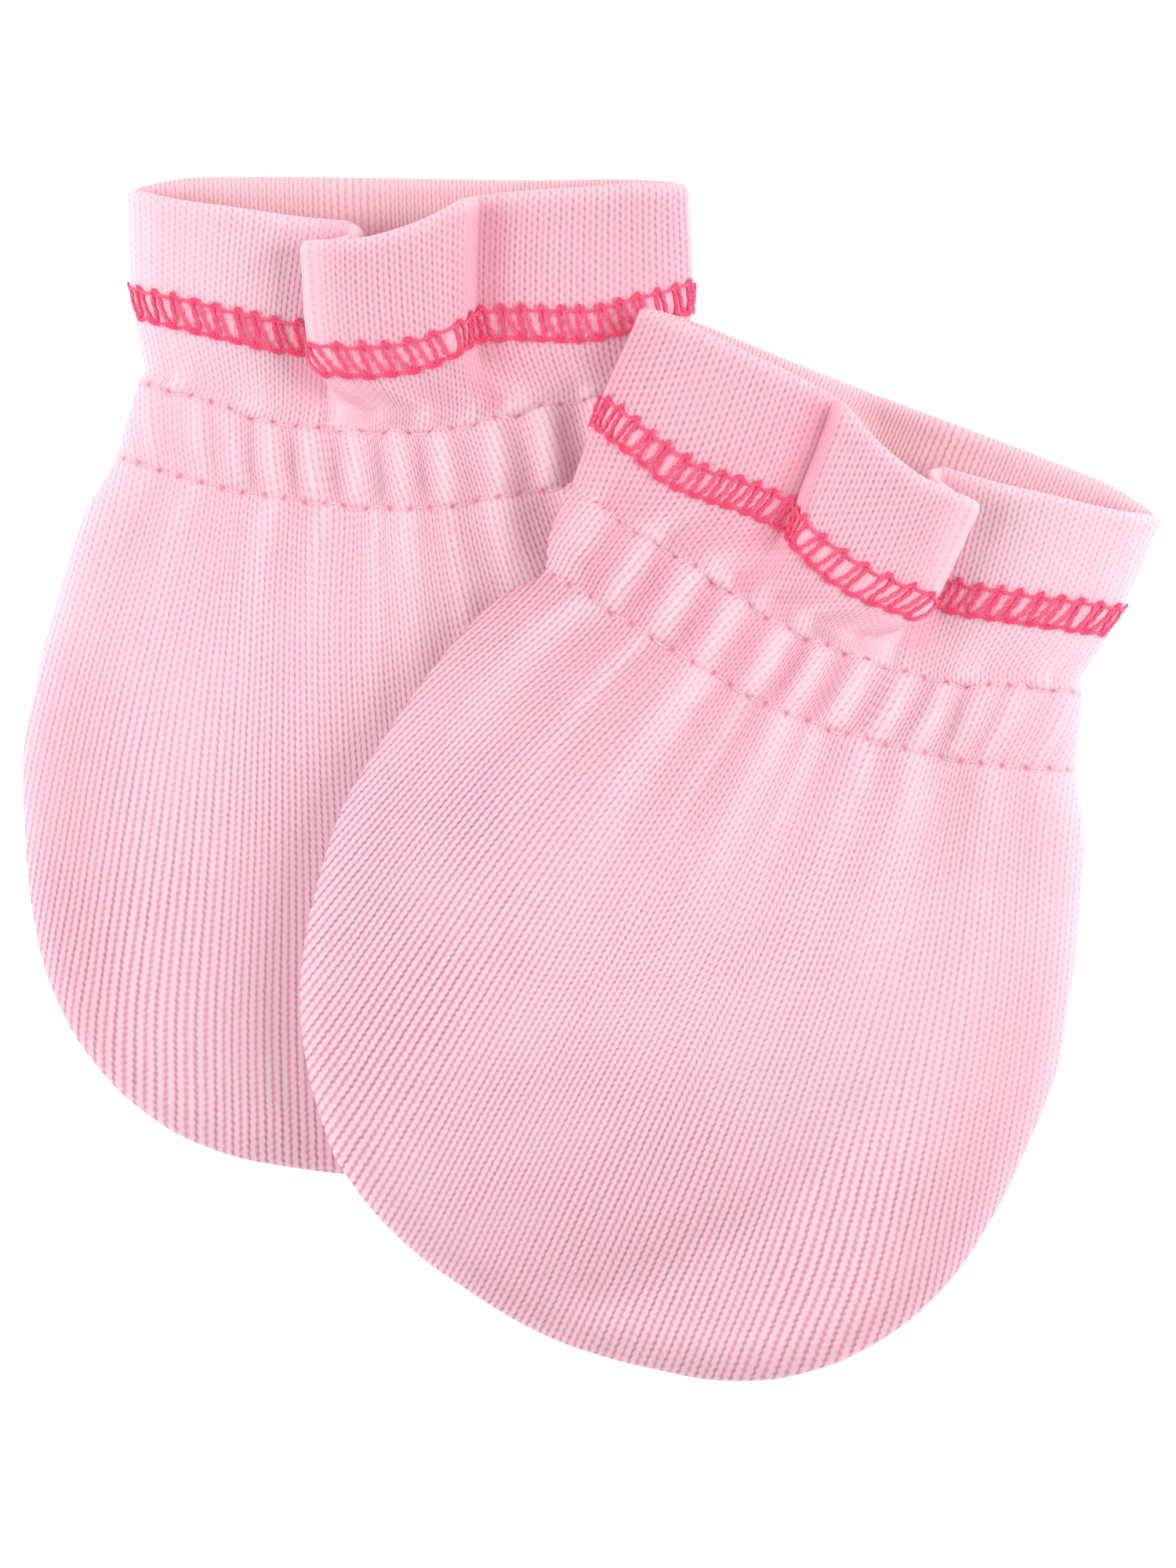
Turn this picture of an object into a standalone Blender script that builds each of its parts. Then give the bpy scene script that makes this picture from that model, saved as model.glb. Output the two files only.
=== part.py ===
"""Pair of baby mittens in thin cotton knit, laid flat, one lapped over the other.

Millimetres in the tables, metres in the scene, +Z up, the surface they lie on at Z = 0. Each mitten is
drawn upright in its own frame: x to the right of its middle line, `down` from the rim of its back panel to
the fingertips. The mitten on top is the mirror image of the one below, turned about its own middle.
"""

import math
from collections import namedtuple

import bmesh
import bpy
import numpy as np

MM = 0.001

# The cloth.
WALL = 1.0
HEM_WALL = 1.4
SEAM_GAP = 0.52

# The side seam and how the two panels rise from it.
SEAM_HEIGHT = 2.2
FRONT_SHOULDER = 4.4
BACK_SHOULDER = 1.45
CROWN_REACH = 24.0
CROWN_SHARE = 0.2

# The gathers that the wrist elastic draws up: places across the mitten, and the height at each from a deep
# valley, -1, to a full ridge, 1.
GATHER_DEPTH = 0.6
GATHERS = (
    (0.0, 0.0),
    (0.070, -0.4),
    (0.135, 0.6),
    (0.165, -0.2),
    (0.190, 0.6),
    (0.219, -0.5),
    (0.253, 0.9),
    (0.294, -0.7),
    (0.326, 0.8),
    (0.370, -0.8),
    (0.406, 0.9),
    (0.449, -0.7),
    (0.486, 0.8),
    (0.526, -0.8),
    (0.563, 0.9),
    (0.611, -0.8),
    (0.661, 0.9),
    (0.710, -0.8),
    (0.753, 1.0),
    (0.810, -0.9),
    (0.851, 0.8),
    (0.903, -0.7),
    (0.950, 0.6),
    (1.0, 0.0),
)

# How far the gathers lean to the right from the middle of the band to its lower row, as a share of the width.
BAND_LEAN = 0.0235

# How the mitten on top lies over the one below: its clearance, how tightly it bends over an edge, and how it
# meets the surface.
LAP_CLEARANCE = 0.6
LAP_BEND = 30.0
LAP_FOOT = 1.6

# Where each mitten's middle lies, the middle's own distance below the rim, and how far the top one is
# turned.
MIDDLE_DOWN = 55.62
UNDER_PLACE = (-20.532, 11.983)
OVER_PLACE = (15.038, -9.767)
OVER_TURN = math.radians(-21.33)

PALE_PINK = (0.94, 0.60, 0.68, 1.0)
PALE_PINK_UNDER = (0.92, 0.56, 0.65, 1.0)

# The front of the turned cuff, one row for each place across the cloth where it bends. `cloth` is the share
# of the panel's wales, and the lifts are the height of the cloth's middle. The cloth runs right under the
# flap, tucks back to the left, and comes out over the top as a loose flap with a valley beside it.
Fold = namedtuple("Fold", "place cloth rim_x rim_down rim_lift hem_x hem_down hem_lift")
FOLDS = (
    Fold("left seam", 0.000, -30.8, 1.10, 5.0, -30.45, 13.7, 5.0),
    Fold("left side", 0.074, -25.9, 2.40, 6.7, -26.1, 15.0, 6.6),
    Fold("left middle", 0.168, -19.0, 3.40, 7.2, -19.9, 16.5, 7.1),
    Fold("towards the flap", 0.262, -11.8, 4.40, 6.7, -13.5, 17.9, 6.6),
    Fold("start of the tuck", 0.330, -6.8, 4.80, 6.3, -8.9, 18.2, 6.2),
    Fold("end of the tuck", 0.455, -10.0, 7.15, 11.3, -9.0, 20.4, 11.2),
    Fold("top of the flap", 0.515, -5.5, 6.95, 11.8, -4.7, 20.7, 11.2),
    Fold("flap, middle", 0.572, -1.1, 5.90, 11.8, -0.3, 20.2, 11.1),
    Fold("flap, right", 0.622, 2.9, 4.30, 11.3, 3.3, 19.1, 10.6),
    Fold("edge of the flap", 0.660, 5.5, 2.85, 10.6, 5.4, 18.0, 10.0),
    Fold("drop", 0.687, 6.5, 2.35, 8.7, 6.3, 17.2, 8.3),
    Fold("valley", 0.711, 7.8, 2.05, 6.8, 7.5, 16.6, 6.7),
    Fold("valley, right", 0.739, 10.2, 1.75, 6.5, 9.8, 16.4, 6.4),
    Fold("foot of the roll", 0.770, 12.6, 1.50, 6.9, 12.1, 16.3, 6.7),
    Fold("top of the roll", 0.849, 19.2, 1.10, 7.8, 18.9, 16.6, 7.6),
    Fold("right side", 0.939, 26.0, 0.60, 7.0, 26.2, 14.9, 6.9),
    Fold("right seam", 1.000, 30.7, 0.50, 5.0, 31.35, 13.1, 5.0),
)
TUCK_START, TUCK_END = 4, 5
TUCK_BEND = 1.25
TUCK_SINK = 0.42

# Lines across the mitten below the hem, to the middle of the cloth: both ends, how far the line sags below
# the straight one between them at an eighth, a quarter, half, three quarters and seven eighths, how high the
# front lies there, how much of the gathers' depth it has, and how far its cloth is drawn together under the
# flap.
LINE_VALUES = "name left_x left_down right_x right_down sag1 sag2 sag4 sag6 sag7 lift gather drawn"
Line = namedtuple("Line", LINE_VALUES)
SAG_AT = (0, 1 / 8, 1 / 4, 1 / 2, 3 / 4, 7 / 8, 1)
LINES = (
    Line("neck", -29.2, 21.4, 31.1, 21.9, 1.9, 3.9, 4.6, 2.2, 1.1, 7.0, 0.7, 1.0),
    Line("upper elastic row", -29.95, 23.1, 31.5, 22.4, 2.2, 4.8, 5.9, 3.1, 1.7, 6.8, 0.85, 1.0),
    Line("elastic", -31.3, 27.5, 31.4, 27.9, 2.3, 4.5, 5.8, 3.2, 1.8, 7.4, 1.0, 0.8),
    Line("lower elastic row", -32.4, 31.4, 30.4, 32.0, 2.4, 4.1, 5.6, 3.3, 1.8, 7.0, 0.9, 0.6),
    Line("below the elastic", -36.05, 38.0, 33.9, 36.7, 2.4, 4.2, 5.7, 3.8, 2.2, 7.4, 0.75, 0.3),
    Line("palm, top", -38.35, 45.1, 37.35, 44.6, 2.2, 4.0, 5.6, 4.0, 2.3, 7.7, 0.45, 0.1),
    Line("palm, upper", -41.2, 55.6, 40.3, 55.9, 2.0, 3.8, 5.2, 3.9, 2.1, 8.1, 0.15, 0.0),
    Line("palm, middle", -42.95, 66.2, 41.9, 66.2, 2.0, 3.8, 5.0, 3.8, 2.0, 8.2, 0.0, 0.0),
    Line("palm, lower", -42.55, 76.7, 41.05, 76.7, 2.3, 4.2, 5.6, 4.2, 2.3, 8.1, 0.0, 0.0),
    Line("fingers, top", -41.05, 86.9, 38.6, 86.4, 3.0, 5.3, 7.0, 5.3, 3.0, 7.8, 0.0, 0.0),
    Line("fingers, middle", -38.3, 94.2, 34.55, 94.1, 3.9, 6.6, 8.6, 6.5, 3.8, 7.5, 0.0, 0.0),
    Line("fingers, low", -36.2, 97.7, 31.95, 97.6, 4.5, 7.3, 9.3, 7.1, 4.4, 7.3, 0.0, 0.0),
    Line("fingertips", -32.35, 102.35, 28.45, 101.65, 5.4, 8.0, 9.8, 7.35, 4.65, 7.3, 0.0, 0.0),
)

# Where across the mitten each part of the cloth lies when it is drawn together under the flap, and how the
# cloth is raised there.
DRAWN_CLOTH = (
    0, 0.074, 0.168, 0.262, 0.330, 0.455, 0.515, 0.572, 0.622, 0.660, 0.711, 0.770, 0.849, 0.939, 1,
)
DRAWN_TO = (
    0, 0.073, 0.168, 0.256, 0.326, 0.410, 0.454, 0.500, 0.549, 0.588, 0.650, 0.718, 0.822, 0.928, 1,
)
FLAP_MIDDLE = 0.46
FLAP_REACH = 0.09
UNDER_FLAP = 1.3

# The back panel's cuff, from the same seam ends: its rim is nearly straight.
BACK_CUFF = (
    Line("back rim", -30.8, 1.1, 30.7, 0.5, -1.15, -1.1, -0.75, -0.4, -0.45, 0.0, 0.0, 0.0),
    Line("back hem", -30.45, 13.7, 31.35, 13.1, 0.0, 0.0, 0.0, 0.0, 0.0, 0.0, 0.0, 0.0),
)

# Rows of the mesh, counted in lines: 0 is the rim, 1 the hem stitching, 2 the neck, and so on to the
# fingertips.
HEM_LINE = 1
NECK_LINE = 2
ELASTIC_MIDDLE = 4
ELASTIC_LINE = 5
LAST_LINE = HEM_LINE + len(LINES)
HEM_END = 1.12
RIM_ROWS = (0, 0.14)
CUFF_ROWS = (0.42, 0.72, 1.0, HEM_END, 1.34, 1.56, 1.78, 2.0)
BAND_ROWS = (3.0, 3.5, 4.0, 4.5, 5.0)
FADE_ROWS = (5.5, 6.1, 6.8)
PALM_ROWS = (7.6, 8.4, 9.2, 10.0, 10.8, 11.6, 12.3, 13.0)
TIP_ROWS = (13.5, 13.8, 13.94, 13.99, 14.0)

# Columns, as shares of the cloth: close together at the seams and in the tuck.
SEAM_COLUMNS = (0, 0.0008, 0.009, 0.024, 0.048)
PLAIN_COLUMNS = 44
BACK_COLUMNS = 11


def curve_through(at, knots, values):
    """A smooth curve through the values at the knots, with no overshoot, read at `at`.

    Values run along axis 0.
    """
    at = np.clip(np.asarray(at, float), knots[0], knots[-1])
    knots = np.asarray(knots, float)
    values = np.asarray(values, float)
    step = np.diff(knots).reshape((-1,) + (1,) * (values.ndim - 1))
    rise = np.diff(values, axis=0) / step
    before, after = rise[:-1], rise[1:]
    turning = before * after <= 0
    weight_before = 2 * step[1:] + step[:-1]
    weight_after = step[1:] + 2 * step[:-1]
    safe_before = np.where(turning, 1, before)
    safe_after = np.where(turning, 1, after)
    inner = (weight_before + weight_after) / (weight_before / safe_before + weight_after / safe_after)
    first = end_slope(step[0], step[1], rise[0], rise[1])
    last = end_slope(step[-1], step[-2], rise[-1], rise[-2])
    slope = np.concatenate([first[None], np.where(turning, 0, inner), last[None]])
    cell = np.clip(np.searchsorted(knots, at, side="right") - 1, 0, len(knots) - 2)
    width = np.diff(knots)[cell]
    share = ((at - knots[cell]) / width).reshape((-1,) + (1,) * (values.ndim - 1))
    width = width.reshape(share.shape)
    keep = (1 + 2 * share) * (1 - share) ** 2
    leave = share * (1 - share) ** 2
    return (
        keep * values[cell]
        + leave * width * slope[cell]
        + (1 - keep) * values[cell + 1]
        - share**2 * (1 - share) * width * slope[cell + 1]
    )


def end_slope(near, far, rise_near, rise_far):
    """The slope at the end of such a curve, from its last two stretches."""
    slope = ((2 * near + far) * rise_near - near * rise_far) / (near + far)
    return np.where(slope * rise_near <= 0, 0, np.clip(slope, -3 * abs(rise_near), 3 * abs(rise_near)))


def drawn_place(cloth, drawn):
    """How far across the mitten each part of the cloth lies, where it is drawn together under the flap."""
    return cloth + drawn * (curve_through(cloth, DRAWN_CLOTH, DRAWN_TO) - cloth)


def line_points(line, cloth):
    """Points x, down, lift along one line across the mitten."""
    across = drawn_place(cloth, line.drawn)
    sag = curve_through(across, SAG_AT, (0, line.sag1, line.sag2, line.sag4, line.sag6, line.sag7, 0))
    x = line.left_x + (line.right_x - line.left_x) * across
    down = line.left_down + (line.right_down - line.left_down) * across + sag
    bulge = np.exp(-(((across - FLAP_MIDDLE) / FLAP_REACH) ** 2)) * UNDER_FLAP * (line.name == "neck")
    return np.stack([x, down, line.lift + bulge], axis=1)


def cuff_points(cloth):
    """The front cuff's rim and hem lines, through the folds on each side of the tuck."""
    sides = (FOLDS[: TUCK_START + 1], FOLDS[TUCK_END:])
    middle = (FOLDS[TUCK_START].cloth + FOLDS[TUCK_END].cloth) / 2
    lines = []
    for edge in ("rim", "hem"):
        curves = []
        for folds in sides:
            knots = [fold.cloth for fold in folds]
            places = [[getattr(fold, edge + way) for way in ("_x", "_down", "_lift")] for fold in folds]
            curves.append(curve_through(cloth, knots, places))
        lines.append(np.where((cloth < middle)[:, None], *curves))
    return lines


def lofted(first_lines, cloth, rows, below=LINES):
    """Points x, down, lift of a panel, rows by columns."""
    lines = first_lines + [line_points(line, cloth) for line in below]
    return curve_through(rows, range(len(lines)), np.array(lines))


def tucked(points, cloth, rows):
    """Takes each row of the cuff through the tuck: a bend to the left, a straight stretch, a bend back.

    Towards the elastic the tuck opens, until the cloth lies straight there.
    """
    first, last = FOLDS[TUCK_START].cloth, FOLDS[TUCK_END].cloth
    inside = (cloth > first) & (cloth < last)
    share = (cloth[inside] - first) / (last - first)
    ends = lofted(cuff_points(np.array([first, last])), np.array([first, last]), rows)
    for row in np.flatnonzero(rows < NECK_LINE + 1):
        start, end = ends[row]
        across, down, up = end - start
        bend = min(TUCK_BEND, 0.98 * (across**2 + up**2) / (4 * max(up, 0.1)))
        centres = math.hypot(across, up - 2 * bend)
        turn = math.atan2(up - 2 * bend, across) + math.asin(2 * bend / centres)
        straight = math.sqrt(centres**2 - 4 * bend**2)
        length = 2 * bend * turn + straight
        along = share * length
        back = length - along
        first_bend = along < bend * turn
        last_bend = back < bend * turn
        on = along - bend * turn
        x = bend * math.sin(turn) + on * math.cos(turn)
        z = bend * (1 - math.cos(turn)) + on * math.sin(turn)
        x = np.where(first_bend, bend * np.sin(along / bend), x)
        z = np.where(first_bend, bend * (1 - np.cos(along / bend)), z)
        x = np.where(last_bend, across - bend * np.sin(back / bend), x)
        z = np.where(last_bend, up - bend * (1 - np.cos(back / bend)), z)
        sunk = down * (share + TUCK_SINK * np.sin(math.pi * share))
        points[row, inside] = start + np.stack([x, sunk, z], axis=1)
    return points


def seam_line():
    """The side seam from the left of the rim round the fingertips to the right of the rim."""
    rows = np.linspace(0, LAST_LINE, 241)
    across = np.linspace(0, 1, 121)
    ends = np.array([0.0, 1.0])
    sides = lofted([line_points(line, ends) for line in BACK_CUFF], ends, rows)
    tips = line_points(LINES[-1], across)
    return np.concatenate([sides[:, 0, :2], tips[1:-1, :2], sides[::-1, 1, :2]])


def distance_to_seam(points):
    """How far each point x, down lies from the side seam."""
    seam = seam_line()
    start, way = seam[:-1], np.diff(seam, axis=0)
    length = (way**2).sum(axis=1)
    flat = points[..., :2].reshape(-1, 2)
    nearest = np.empty(len(flat))
    for first in range(0, len(flat), 400):
        some = flat[first : first + 400, None] - start
        share = np.clip((some * way).sum(axis=2) / length, 0, 1)
        away = ((some - share[..., None] * way) ** 2).sum(axis=2)
        nearest[first : first + 400] = np.sqrt(away.min(axis=1))
    return nearest.reshape(points.shape[:-1])


def quarter_round(distance, reach):
    """0 at the seam, rising steeply at first, and 1 from `reach` on."""
    return np.sqrt(1 - (1 - np.clip(distance / reach, 0, 1)) ** 2)


def eased(share):
    share = np.clip(share, 0, 1)
    return share * share * (3 - 2 * share)


def wall_at(rows):
    """The cloth's thickness in each row: two layers in the hem, thinner at its rolled rim."""
    plain = HEM_WALL + (WALL - HEM_WALL) * eased((rows - HEM_LINE) / (HEM_END - HEM_LINE))
    return plain * (0.62 + 0.38 * quarter_round(rows, RIM_ROWS[-1]))


def gather_wave(cloth, rows):
    """The gathers' height at each point, from -1 to 1."""
    drawn = curve_through(rows, range(len(LINES) + 2), [0.0, 0.0] + [line.drawn for line in LINES])
    across = drawn_place(cloth, drawn[:, None])
    across = across - BAND_LEAN * np.clip(rows - ELASTIC_MIDDLE, -1, 1)[:, None]
    places, heights = zip(*GATHERS)
    return curve_through(across.ravel(), places, heights).reshape(across.shape)


def front_form(cloth, rows):
    """The middle of the front panel's cloth: x, down, height."""
    points = tucked(lofted(cuff_points(cloth), cloth, rows), cloth, rows)
    distance = distance_to_seam(points)
    in_palm = eased((rows - ELASTIC_LINE) / 2)[:, None]
    crown = 1 - CROWN_SHARE * in_palm * (1 - eased(distance / CROWN_REACH))
    foot = SEAM_HEIGHT + SEAM_GAP / 2
    share = np.array([0.0, 0.0] + [line.gather for line in LINES])
    gather = curve_through(rows, range(len(share)), share)[:, None] * GATHER_DEPTH * gather_wave(cloth, rows)
    shoulder = quarter_round(distance, FRONT_SHOULDER)
    points[..., 2] = foot + ((points[..., 2] - foot) * crown + gather) * shoulder
    return points


def back_form(cloth, rows):
    """The middle of the back panel's cloth: flat, and turned up to the seam at its edge."""
    straight = [line._replace(drawn=0.0) for line in LINES]
    points = lofted([line_points(line, cloth) for line in BACK_CUFF], cloth, rows, straight)
    flat = wall_at(rows)[:, None] / 2
    top = SEAM_HEIGHT - SEAM_GAP / 2
    turned_up = 1 - quarter_round(distance_to_seam(points), BACK_SHOULDER)
    points[..., 2] = flat + (top - flat) * turned_up
    return points


def placed(points, mirrored, turn, place):
    """Points x, down, height of a mitten, moved to where it lies."""
    x = -points[..., 0] if mirrored else points[..., 0]
    y = MIDDLE_DOWN - points[..., 1]
    turned_x = x * math.cos(turn) - y * math.sin(turn) + place[0]
    turned_y = x * math.sin(turn) + y * math.cos(turn) + place[1]
    return np.stack([turned_x, turned_y, points[..., 2]], axis=-1)


def under_placed(points):
    return placed(points, False, 0.0, UNDER_PLACE)


def over_placed(points):
    """The mirrored mitten, laid over the other: it bends down to the surface beyond the one below."""
    points = placed(points, True, OVER_TURN, OVER_PLACE)
    points[..., 2] += lap_height(points)
    return points


def lap_height(points):
    """The height of what the top mitten lies on."""
    cloth = np.linspace(0, 1, 100)
    rows = np.linspace(0, LAST_LINE, 120)
    below = under_placed(front_form(cloth, rows)).reshape(-1, 3)
    top = below[:, 2] + WALL / 2 + LAP_CLEARANCE
    flat = points.reshape(-1, 3)
    height = np.empty(len(flat))
    for first in range(0, len(flat), 200):
        some = flat[first : first + 200]
        away = ((some[:, None, :2] - below[:, :2]) ** 2).sum(axis=2)
        height[first : first + 200] = (top - away / (2 * LAP_BEND)).max(axis=1)
    foot = (np.clip(height, -LAP_FOOT, LAP_FOOT) + LAP_FOOT) ** 2 / (4 * LAP_FOOT)
    return np.where(height > LAP_FOOT, height, foot).reshape(points.shape[:-1])


def front_columns():
    """Shares of the cloth, and whether each column goes on below the gathers."""
    middle = np.linspace(SEAM_COLUMNS[-1], 1 - SEAM_COLUMNS[-1], PLAIN_COLUMNS + 1)[1:-1]
    halves = (middle[:-1] + middle[1:]) / 2
    tuck = halves[(halves > FOLDS[TUCK_START].cloth) & (halves < FOLDS[TUCK_END].cloth)]
    cloth = [(share, True) for side in SEAM_COLUMNS for share in (side, 1 - side)]
    cloth += [(share, number % 2 == 1) for number, share in enumerate(middle)]
    cloth += [(share, False) for share in tuck]
    cloth.sort()
    return np.array([share for share, _ in cloth]), [goes_on for _, goes_on in cloth]


def back_columns():
    middle = np.linspace(SEAM_COLUMNS[-1], 1 - SEAM_COLUMNS[-1], BACK_COLUMNS + 1)[1:-1]
    ends = np.array(SEAM_COLUMNS)
    return np.sort(np.concatenate([ends, middle, 1 - ends]))


def cloth_material(name, colour):
    material = bpy.data.materials.new(name)
    material.use_nodes = True
    shader = material.node_tree.nodes["Principled BSDF"]
    shader.inputs["Base Color"].default_value = colour
    shader.inputs["Roughness"].default_value = 0.9
    shader.inputs["Metallic"].default_value = 0.0
    return material


def panel(name, points, rows, material, collection, faces_up, goes_on=None, thin_from=0):
    """One cut piece: a grid laid on the form's points, then given its wall.

    From row `thin_from` on, the columns that `goes_on` doesn't mark are dissolved.
    """
    row_count, column_count = points.shape[:2]
    bm = bmesh.new()
    bmesh.ops.create_grid(bm, x_segments=column_count - 1, y_segments=row_count - 1, size=1.0)
    weights = bm.verts.layers.deform.verify()
    walls = wall_at(rows)
    cells = {}
    for vert in bm.verts:
        column = round((vert.co.x + 1) / 2 * (column_count - 1))
        row = round((1 - vert.co.y) / 2 * (row_count - 1))
        vert.co = points[row, column] * MM
        vert[weights][0] = float(walls[row] / HEM_WALL)
        cells[vert] = (row, column)
    if goes_on:
        spare = [
            edge
            for edge in bm.edges
            if cells[edge.verts[0]][1] == cells[edge.verts[1]][1]
            and not goes_on[cells[edge.verts[0]][1]]
            and min(cells[vert][0] for vert in edge.verts) >= thin_from
        ]
        bmesh.ops.dissolve_edges(bm, edges=spare, use_verts=True)
    bm.normal_update()
    if (sum(face.normal.z * face.calc_area() for face in bm.faces) > 0) != faces_up:
        bmesh.ops.reverse_faces(bm, faces=bm.faces)
    mesh = bpy.data.meshes.new(name)
    bm.to_mesh(mesh)
    bm.free()
    mesh.shade_smooth()
    mesh.materials.append(material)
    obj = bpy.data.objects.new(name, mesh)
    collection.objects.link(obj)
    obj.vertex_groups.new(name="wall")
    wall = obj.modifiers.new("wall", "SOLIDIFY")
    wall.thickness = HEM_WALL * MM
    wall.offset = 0.0
    wall.vertex_group = "wall"
    wall.thickness_vertex_group = 0.0
    return obj


def mitten(name, place, collection, material, under_material):
    """Both panels of one mitten."""
    cloth, goes_on = front_columns()
    rows = np.array(RIM_ROWS + CUFF_ROWS + BAND_ROWS + FADE_ROWS + PALM_ROWS + TIP_ROWS)
    thin_from = len(RIM_ROWS + CUFF_ROWS + BAND_ROWS + FADE_ROWS)
    front = place(front_form(cloth, rows))
    panel(name + "_front", front, rows, material, collection, True, goes_on, thin_from)
    sparse = CUFF_ROWS[1::2] + BAND_ROWS[::2] + FADE_ROWS[1::2]
    back_rows = np.array(RIM_ROWS + sparse + PALM_ROWS + TIP_ROWS)
    back = place(back_form(back_columns(), back_rows))
    panel(name + "_back", back, back_rows, under_material, collection, False)


def main():
    for obj in list(bpy.data.objects):
        bpy.data.objects.remove(obj, do_unlink=True)
    collection = bpy.data.collections.new("baby_mittens")
    bpy.context.scene.collection.children.link(collection)
    for name, place in (("under_mitten", under_placed), ("over_mitten", over_placed)):
        front = cloth_material(name + "_front_knit", PALE_PINK)
        back = cloth_material(name + "_back_knit", PALE_PINK_UNDER)
        mitten(name, place, collection, front, back)


main()
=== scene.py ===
"""Pair of baby mittens in thin cotton interlock, laid flat, one lapped over the other.

Millimetres in the tables and in each mitten's own frame, metres in the scene. Each mitten is drawn upright:
x to the right of its middle line, `down` from the rim of its back panel to the fingertips. The mitten on top
is the mirror image of the one below, turned about its own middle.
"""

import math
import random
from collections import namedtuple
from functools import partial

import bmesh
import bpy
import numpy as np
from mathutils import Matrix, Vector


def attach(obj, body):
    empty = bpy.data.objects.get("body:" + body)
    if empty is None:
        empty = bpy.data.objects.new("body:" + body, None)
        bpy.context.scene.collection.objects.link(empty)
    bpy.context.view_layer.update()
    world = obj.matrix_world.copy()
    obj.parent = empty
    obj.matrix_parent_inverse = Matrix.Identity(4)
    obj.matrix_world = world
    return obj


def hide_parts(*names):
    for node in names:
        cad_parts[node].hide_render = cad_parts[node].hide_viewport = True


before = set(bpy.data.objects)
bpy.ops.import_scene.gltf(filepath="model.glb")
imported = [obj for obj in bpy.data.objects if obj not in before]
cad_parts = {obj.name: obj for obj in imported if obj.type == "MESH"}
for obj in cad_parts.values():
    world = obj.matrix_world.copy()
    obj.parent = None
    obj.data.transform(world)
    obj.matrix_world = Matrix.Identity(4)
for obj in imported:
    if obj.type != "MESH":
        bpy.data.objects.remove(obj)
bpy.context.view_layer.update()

MM = 0.001

# ---- the cut pieces

# The cloth's thickness, and in the hem, where it lies double and rolls round at the rim.
WALL = 1.0
HEM_WALL = 1.4
ROLL = 0.85
ROLL_END = 2.6
THINNEST = 0.12
# The two panels meet in a side seam this high above the surface, where the middles of their walls lap by this
# much. Each rounds away from it over its shoulder.
SEAM_HEIGHT = 2.2
SEAM_LAP = 0.04
FRONT_SHOULDER = 4.4
BACK_SHOULDER = 1.45
# The palm falls off towards the seam from this far inside it, by this share of its height.
CROWN_REACH = 24.0
CROWN_SHARE = 0.2
# How high a full ridge of the gathers stands.
GATHER_DEPTH = 0.60
# The mitten on top clears the one below by this much, bends no tighter than this radius, and reaches the
# surface in a soft foot.
LAP_CLEARANCE = 0.6
LAP_BEND = 30.0
LAP_FOOT = 1.6
# Its height is worked out on a grid with this step, over this much of the surface.
LAP_STEP = 1.0
LAP_ACROSS = (-48, 72)
LAP_ALONG = (-76, 60)
# Where the mittens lie, from the middle of each.
MIDDLE_DOWN = 55.62
UNDER_PLACE = (-20.532, 11.983)
OVER_PLACE = (15.038, -9.767)
OVER_TURN = math.radians(-21.33)

# The front of the turned cuff. `cloth` is the share of the panel's wales, and the lifts are the height of
# its middle. The cloth runs right under the flap, tucks back to the left, and comes out over the top as a
# loose flap with a valley beside it.
Fold = namedtuple("Fold", "place cloth rim_x rim_down rim_lift hem_x hem_down hem_lift")
FOLDS = (
    Fold("left seam", 0.000, -30.8, 1.10, 5.0, -30.45, 13.7, 5.0),
    Fold("left side", 0.074, -25.9, 2.40, 6.7, -26.1, 15.0, 6.6),
    Fold("left middle", 0.168, -19.0, 3.40, 7.2, -19.9, 16.5, 7.1),
    Fold("towards the flap", 0.262, -11.8, 4.40, 6.7, -13.5, 17.9, 6.6),
    Fold("start of the tuck", 0.330, -6.8, 4.80, 6.3, -8.9, 18.2, 6.2),
    Fold("end of the tuck", 0.455, -10.0, 7.15, 11.3, -9.0, 20.4, 11.2),
    Fold("top of the flap", 0.515, -5.5, 6.95, 11.8, -4.7, 20.7, 11.2),
    Fold("flap, middle", 0.572, -1.1, 5.90, 11.8, -0.3, 20.2, 11.1),
    Fold("flap, right", 0.622, 2.9, 4.30, 11.3, 3.3, 19.1, 10.6),
    Fold("edge of the flap", 0.660, 5.5, 2.85, 10.6, 5.4, 18.0, 10.0),
    Fold("drop", 0.687, 6.5, 2.35, 8.7, 6.3, 17.2, 8.3),
    Fold("valley", 0.711, 7.8, 2.05, 6.8, 7.5, 16.6, 6.7),
    Fold("valley, right", 0.739, 10.2, 1.75, 6.5, 9.8, 16.4, 6.4),
    Fold("foot of the roll", 0.770, 12.6, 1.50, 6.9, 12.1, 16.3, 6.7),
    Fold("top of the roll", 0.849, 19.2, 1.10, 7.8, 18.9, 16.6, 7.6),
    Fold("right side", 0.939, 26.0, 0.60, 7.0, 26.2, 14.9, 6.9),
    Fold("right seam", 1.000, 30.7, 0.50, 5.0, 31.35, 13.1, 5.0),
)
TUCK_START, TUCK_END = 4, 5
# The tuck's cloth bends round at this radius, and sinks into the flap's shade by this share of its drop.
TUCK_BEND = 1.25
TUCK_SINK = 0.42

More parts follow.
